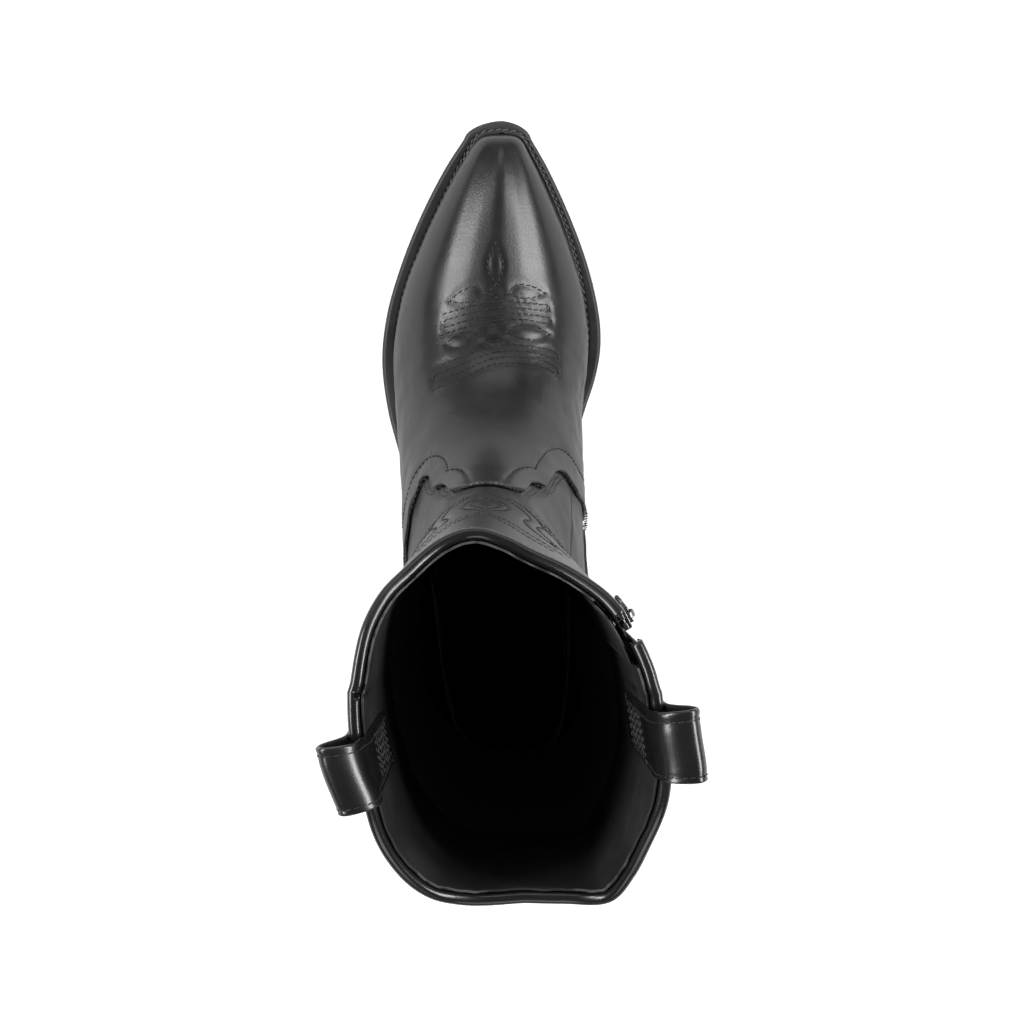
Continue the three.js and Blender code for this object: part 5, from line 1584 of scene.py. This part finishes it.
def build_zip():
    stretch = (CHAIN_LOW - 6, CHAIN_HIGH + 3.4)
    for side, name in ((-1, "front"), (1, "rear")):
        zip_strip(stretch, side * ROW_INNER, side * TAPE_HALF, TAPE_OUT, TAPE_OUT - 0.7, "zip_cloth_" + name,
                  MATERIALS["tape"], slot="zip_cloth", replaces=["zip_tape_" + name])
        rows = []
        for depth, drop in ((1.75, 0.0), (1.75, -0.75)):
            z = np.linspace(CHAIN_LOW + 1, CHAIN_HIGH - 0.5, 160) + drop
            u = ring_at_height(z)
            v = side_angle(ZIP_ANGLE, u, np.full(len(u), side * (depth + (0.25 if drop else 0.0))))
            off = TEETH_OUT - 1.05 - (0.25 if drop else 0)
            rows.append({"points": place(u, v, np.full(len(u), off)), "normals": skin_normal(u, v)})
        settings = {"Pitch": 1.5 * MM, "Length": 1.05 * MM, "Width": 2.3 * MM, "Height": 1.9 * MM,
                    "Slant": 0.0}
        lay_rows("zip_coil_" + name, rows, settings, MATERIALS["teeth"],
                 replaces=["zip_teeth_" + name])
        crimp = joined([slab(box_outline(side * 0.9 - 0.2 * side, side * 3.2, 0.5, 2.9, 0.5), -3.0, -1.25,
                             0.25)])
        lift = CHAIN_HIGH - SLIDER_Z
        points = crimp[0] + np.array([0, 0, lift])
        new_object("zip_crimp_" + name, in_zip(points), crimp[1], MATERIALS["metal"], slot="zip_metal",
                   replaces=["zip_top_stop_" + name])
    points, faces = slab(box_outline(-3.2, 3.2, -3.8, -0.6, 0.6), -3.0, -1.3, 0.3)
    points = points + np.array([0, 0, CHAIN_LOW - SLIDER_Z])
    new_object("zip_end_clamp", in_zip(points), faces, MATERIALS["metal"], slot="zip_metal",
               replaces=["zip_bottom_stop"])
    zip_strip((CHAIN_LOW - 8, ZIP_TOP - 4), -TAPE_HALF, TAPE_HALF, FACING_IN - 0.3, FACING_IN - 1.3,
              "zip_guard_leather", MATERIALS["facing"], slot="zip_cloth", replaces=["zip_guard"])
    for side in (-1, 1):
        u = np.linspace(float(ring_at_height(CHAIN_LOW)), float(ring_at_height(ZIP_TOP - 8)), 80)
        v = side_angle(ZIP_ANGLE, u, np.full(80, side * 12.0))
        points = place(u, v, np.full(80, FACING_IN - 1.42))
        STITCHES.append({"points": points, "normals": -skin_normal(u, v), "kind": "facing"})


def build_slider():
    inner = TAPE_OUT - 0.7 - 0.6
    shield = rounded_outline([(-3.3, -5), (3.3, -5), (4.5, -2.2), (4.5, 3.4), (2.6, 5), (-2.6, 5),
                              (-4.5, 3.4),
                              (-4.5, -2.2)], 1.2)
    parts = [slab(shield, -0.8, 0.3, 0.28), slab(shield, inner - 1, inner, 0.28),
             slab(box_outline(-0.35, 0.35, 2, 4.8, 0.2), inner - 0.4, -0.1, 0.1)]
    for side in (-1, 1):
        flange = sorted((side * 3.8, side * 4.45))
        parts.append(slab(box_outline(flange[0], flange[1], -2.2, 3.3, 0.2), -2.0, -0.5, 0.15))
    arch = []
    for t in np.linspace(0, math.pi, 15):
        arch.append((-3.4 * math.cos(t), 0.0 + 2.85 * math.sin(t) ** 0.6))
    ring = [(1.1, 0.45), (0.8, 0.6), (-0.8, 0.6), (-1.1, 0.45), (-1.1, -0.4), (1.1, -0.4)]
    points, faces = [], []
    for i, (along, rise) in enumerate(arch):
        before, after = arch[max(i - 1, 0)], arch[min(i + 1, len(arch) - 1)]
        tx, ty = after[0] - before[0], after[1] - before[1]
        size = math.hypot(tx, ty)
        for x, y in ring:
            points.append((x, rise - 0.05 + 0.9 * y * tx / size, along - 0.9 * y * ty / size))
    faces = grid_faces(len(arch), len(ring), 0, False, True)
    faces.append(tuple(range(len(ring))))
    faces.append(tuple(reversed(range(len(points) - len(ring), len(points)))))
    parts.append((np.array(points), faces))
    points, faces = joined(parts)
    new_object("zip_slider_body", in_zip(points), faces, MATERIALS["metal"], body="slider", slot="zip_metal",
               replaces=["zip_slider"])


def build_puller():
    bar = 0.6
    bottom = [(4.2 * math.cos(a), -24 + 4.2 * math.sin(a)) for a in np.radians(np.arange(0, -181, -12))]
    outer = [(-3.2, bar), (3.2, bar), (3.4, -8), (4.2, -12)] + bottom + [(-4.2, -12), (-3.4, -8)]
    window = rounded_outline([(-2.1, -bar), (2.1, -bar), (2.1, -6.5), (-2.1, -6.5)], 0.8)
    outer = rounded_outline(outer, 0.4, 2)
    points, faces = joined([ring_slab(outer, window, PIVOT_OUT - bar, PIVOT_OUT + bar, 0.22)])
    new_object("zip_pull_tab", in_zip(points), faces, MATERIALS["metal"], body="puller", slot="zip_metal",
               replaces=["zip_puller"])


# ---- All the sewing thread ----
def build_stitching(pitch, seed):
    flat = {"Pitch": pitch, "Length": 0.925 * pitch, "Width": 0.62 * MM, "Height": 0.55 * MM, "Slant": 0.1}
    for kind in ("toe", "vamp", "vamp_edge", "counter", "shaft_front", "shaft_back", "strap", "facing",
                 "binding"):
        if not rows_of(kind):
            raise RuntimeError("no stitched lines for " + kind)
    lay_rows("vamp_stitching", rows_of("toe", "vamp", "vamp_edge", "counter"), flat, MATERIALS["thread"],
             seed=seed)
    lay_rows("shaft_stitching", rows_of("shaft_front", "shaft_back"), flat, MATERIALS["thread"],
             seed=seed)
    lay_rows("trim_stitching", rows_of("strap", "facing", "binding"), flat, MATERIALS["thread"],
             seed=seed)
    rope = {"Pitch": 3.3 * MM, "Length": 3.1 * MM, "Width": 1.15 * MM, "Height": 0.9 * MM, "Slant": 0.32}
    lay_rows("welt_stitching", rows_of("welt"), rope, MATERIALS["welt_thread"],
             seed=seed)


# ---- Stage ----
def area_light(name, at, target, size, power, size_y=None):
    data = bpy.data.lights.new(name, "AREA")
    data.shape = "RECTANGLE"
    data.size, data.size_y = size, size_y or size
    data.energy = power
    light = bpy.data.objects.new(name, data)
    light.location = at
    light.rotation_euler = (Vector(target) - Vector(at)).to_track_quat("-Z", "Y").to_euler()
    bpy.context.scene.collection.objects.link(light)
    return light


# Each softbox: name, place, length, share of the key power, width.
SOFTBOXES = (("left_softbox", (-1.2, 0.3, 0.95), 1.5, 1.0, 0.4),
             ("right_softbox", (1.2, 0.3, 0.95), 1.5, 1.0, 0.4),
             ("front_softbox", (0.0, 1.7, 0.9), 1.4, 0.15, 0.6),
             ("back_softbox", (0.0, -1.6, 1.2), 1.4, 0.3, 0.8))
FLOOR_HALF, FLOOR_DOWN = 4.0, 0.0005


def build_stage(look):
    mesh = bpy.data.meshes.new("studio_floor")
    corners = [(x * FLOOR_HALF, y * FLOOR_HALF, -FLOOR_DOWN) for x, y in ((-1, -1), (1, -1), (1, 1), (-1, 1))]
    mesh.from_pydata(corners, [], [(0, 1, 2, 3)])
    floor = bpy.data.objects.new("studio_floor", mesh)
    bpy.context.scene.collection.objects.link(floor)
    material = bpy.data.materials.new("pale_floor")
    material.use_nodes = True
    shader = material.node_tree.nodes["Principled BSDF"]
    shader.inputs["Base Color"].default_value = (0.7, 0.7, 0.7, 1)
    shader.inputs["Roughness"].default_value = 0.9
    shader.inputs["Emission Color"].default_value = (1, 1, 1, 1)
    seen = material.node_tree.nodes.new("ShaderNodeLightPath")
    glow = math_node(material.node_tree, "MULTIPLY", seen.outputs["Is Camera Ray"], look.floor_glow)
    material.node_tree.links.new(glow, shader.inputs["Emission Strength"])
    mesh.materials.append(material)

    world = bpy.data.worlds.new("studio_air")
    bpy.context.scene.world = world
    world.use_nodes = True
    world.node_tree.nodes["Background"].inputs["Color"].default_value = (1, 1, 1, 1)
    world.node_tree.nodes["Background"].inputs["Strength"].default_value = look.fill
    middle = Vector((0, 0.02, 0.15))
    for name, at, length, share, width in SOFTBOXES:
        area_light(name, at, middle, length, look.key_power * share, width)

    camera_data = bpy.data.cameras.new("camera")
    camera_data.sensor_width = 36.0
    camera_data.lens = 117.4
    camera_data.clip_end = 20
    camera = bpy.data.objects.new("camera", camera_data)
    toe = Vector((SHIFT_X * MM, TOE_Y * MM, 0))
    camera.location = toe + Vector((-0.0181, -0.0303, 1.5))
    camera.rotation_euler = view_turn(math.atan2(-55, 3360), math.atan2(325, 3360))
    bpy.context.scene.collection.objects.link(camera)
    bpy.context.scene.camera = camera
    bpy.context.scene.view_settings.view_transform = "Standard"


def view_turn(sideways, backwards):
    """The camera hangs over the toes and leans by two small angles towards the heel."""
    aim = Vector((math.tan(sideways), math.tan(backwards), -1)).normalized()
    return aim.rotation_difference(Vector((0, 0, -1))).to_euler()


# ---- Settings, operators and panel ----
class BootLook(bpy.types.PropertyGroup):
    """Colours and lights that a user would change."""
    leather: FloatVectorProperty(name="Leather colour",
                                 description="Colour of the leather in its dark places",
                                 default=(0.0065, 0.0065, 0.0072), subtype="COLOR", min=0, max=1)
    roughness: FloatProperty(name="Leather roughness", description="How dull the leather's glaze is",
                             default=0.27, min=0, max=1, subtype="FACTOR")
    key_power: FloatProperty(name="Softbox power", description="Power of each side softbox", default=26.0,
                             min=0, unit="POWER")
    fill: FloatProperty(name="Fill light", description="Strength of the light from all around",
                        default=0.09, min=0)
    floor_glow: FloatProperty(name="Floor glow", description="Light given off by the floor, to keep it pale",
                              default=0.6, min=0)


class BootSizes(bpy.types.PropertyGroup):
    """Sizes that a user would change; the frame's own sizes stay with the frame."""
    stitch_pitch: FloatProperty(name="Stitch pitch", description="Distance from one stitch to the next",
                                default=2.7 * MM, min=0.001, unit="LENGTH", subtype="DISTANCE")
    strap_skew: FloatProperty(name="Strap skew", description="How far the outer strap's loop is twisted",
                              default=1.6 * MM, unit="LENGTH", subtype="DISTANCE")
    seed: IntProperty(name="Seed", description="Seed of the small unevenness of the thread", default=7)


class BootOperator:
    """What every operator of the boot has in common."""
    bl_options = {"REGISTER"}

    def execute(self, context):
        self.make(context.scene.boot_look, context.scene.boot_sizes)
        return {"FINISHED"}


class BOOT_OT_stage(BootOperator, bpy.types.Operator):
    """Sets the pale floor, the softboxes and the camera"""
    bl_idname = "boot.stage"
    bl_label = "Stage"

    def make(self, look, sizes):
        build_stage(look)


class BOOT_OT_finishes(BootOperator, bpy.types.Operator):
    """Makes the leathers, cloths, metals and rubbers"""
    bl_idname = "boot.finishes"
    bl_label = "Finishes"

    def make(self, look, sizes):
        make_materials(look)


class BOOT_OT_bottom(BootOperator, bpy.types.Operator):
    """Builds the outsole and the welt"""
    bl_idname = "boot.bottom"
    bl_label = "Outsole and Welt"

    def make(self, look, sizes):
        build_outsole()
        build_welt()


class BOOT_OT_heel(BootOperator, bpy.types.Operator):
    """Builds the stacked heel and its top piece"""
    bl_idname = "boot.heel"
    bl_label = "Heel"

    def make(self, look, sizes):
        build_heel()


class BOOT_OT_upper(BootOperator, bpy.types.Operator):
    """Builds the vamp, the counter cover, the shaft panels and the side seam"""
    bl_idname = "boot.upper"
    bl_label = "Upper"

    def make(self, look, sizes):
        build_vamp()
        build_counter()
        build_shaft()
        build_piping()


class BOOT_OT_lining(BootOperator, bpy.types.Operator):
    """Builds the linings, the sock liner and the facing"""
    bl_idname = "boot.lining"
    bl_label = "Linings"

    def make(self, look, sizes):
        build_linings()
        build_sock()
        build_facing()


class BOOT_OT_binding(BootOperator, bpy.types.Operator):
    """Builds the rolled edge of the topline"""
    bl_idname = "boot.binding"
    bl_label = "Topline Binding"

    def make(self, look, sizes):
        build_binding()


class BOOT_OT_straps(BootOperator, bpy.types.Operator):
    """Builds the two pull straps"""
    bl_idname = "boot.straps"
    bl_label = "Pull Straps"

    def make(self, look, sizes):
        for side, share in (("lateral", 1.0), ("medial", -0.3)):
            build_strap("pull_strap_" + side, STRAP_ANGLES[side], STRAP_LEANS[side],
                        share * sizes.strap_skew / MM)


class BOOT_OT_zip(BootOperator, bpy.types.Operator):
    """Builds the zip's tapes, coils, stops, guard, slider and puller"""
    bl_idname = "boot.zip"
    bl_label = "Zip"

    def make(self, look, sizes):
        build_zip()
        build_slider()
        build_puller()


class BOOT_OT_stitching(BootOperator, bpy.types.Operator):
    """Lays every row of stitches"""
    bl_idname = "boot.stitching"
    bl_label = "Stitching"

    def make(self, look, sizes):
        build_stitching(sizes.stitch_pitch, sizes.seed)


OPERATORS = (BOOT_OT_stage, BOOT_OT_finishes, BOOT_OT_bottom, BOOT_OT_heel, BOOT_OT_upper, BOOT_OT_lining,
             BOOT_OT_binding, BOOT_OT_straps, BOOT_OT_zip, BOOT_OT_stitching)


class BOOT_PT_panel(bpy.types.Panel):
    """Lists the boot's settings and its building steps"""
    bl_idname = "BOOT_PT_panel"
    bl_label = "Cowboy Boot"
    bl_space_type = "VIEW_3D"
    bl_region_type = "UI"
    bl_category = "Boot"

    def draw(self, context):
        for group in (context.scene.boot_look, context.scene.boot_sizes):
            for name in group.__annotations__:
                self.layout.prop(group, name)
        for operator in OPERATORS:
            self.layout.operator(operator.bl_idname)


CLASSES = (BootLook, BootSizes) + OPERATORS + (BOOT_PT_panel,)


def register():
    for item in CLASSES:
        bpy.utils.register_class(item)
    bpy.types.Scene.boot_look = PointerProperty(type=BootLook)
    bpy.types.Scene.boot_sizes = PointerProperty(type=BootSizes)


def unregister():
    del bpy.types.Scene.boot_look
    del bpy.types.Scene.boot_sizes
    for item in reversed(CLASSES):
        bpy.utils.unregister_class(item)


def main():
    register()
    for operator in OPERATORS:
        group, name = operator.bl_idname.split(".")
        getattr(getattr(bpy.ops, group), name)()


if __name__ == "__main__":
    main()
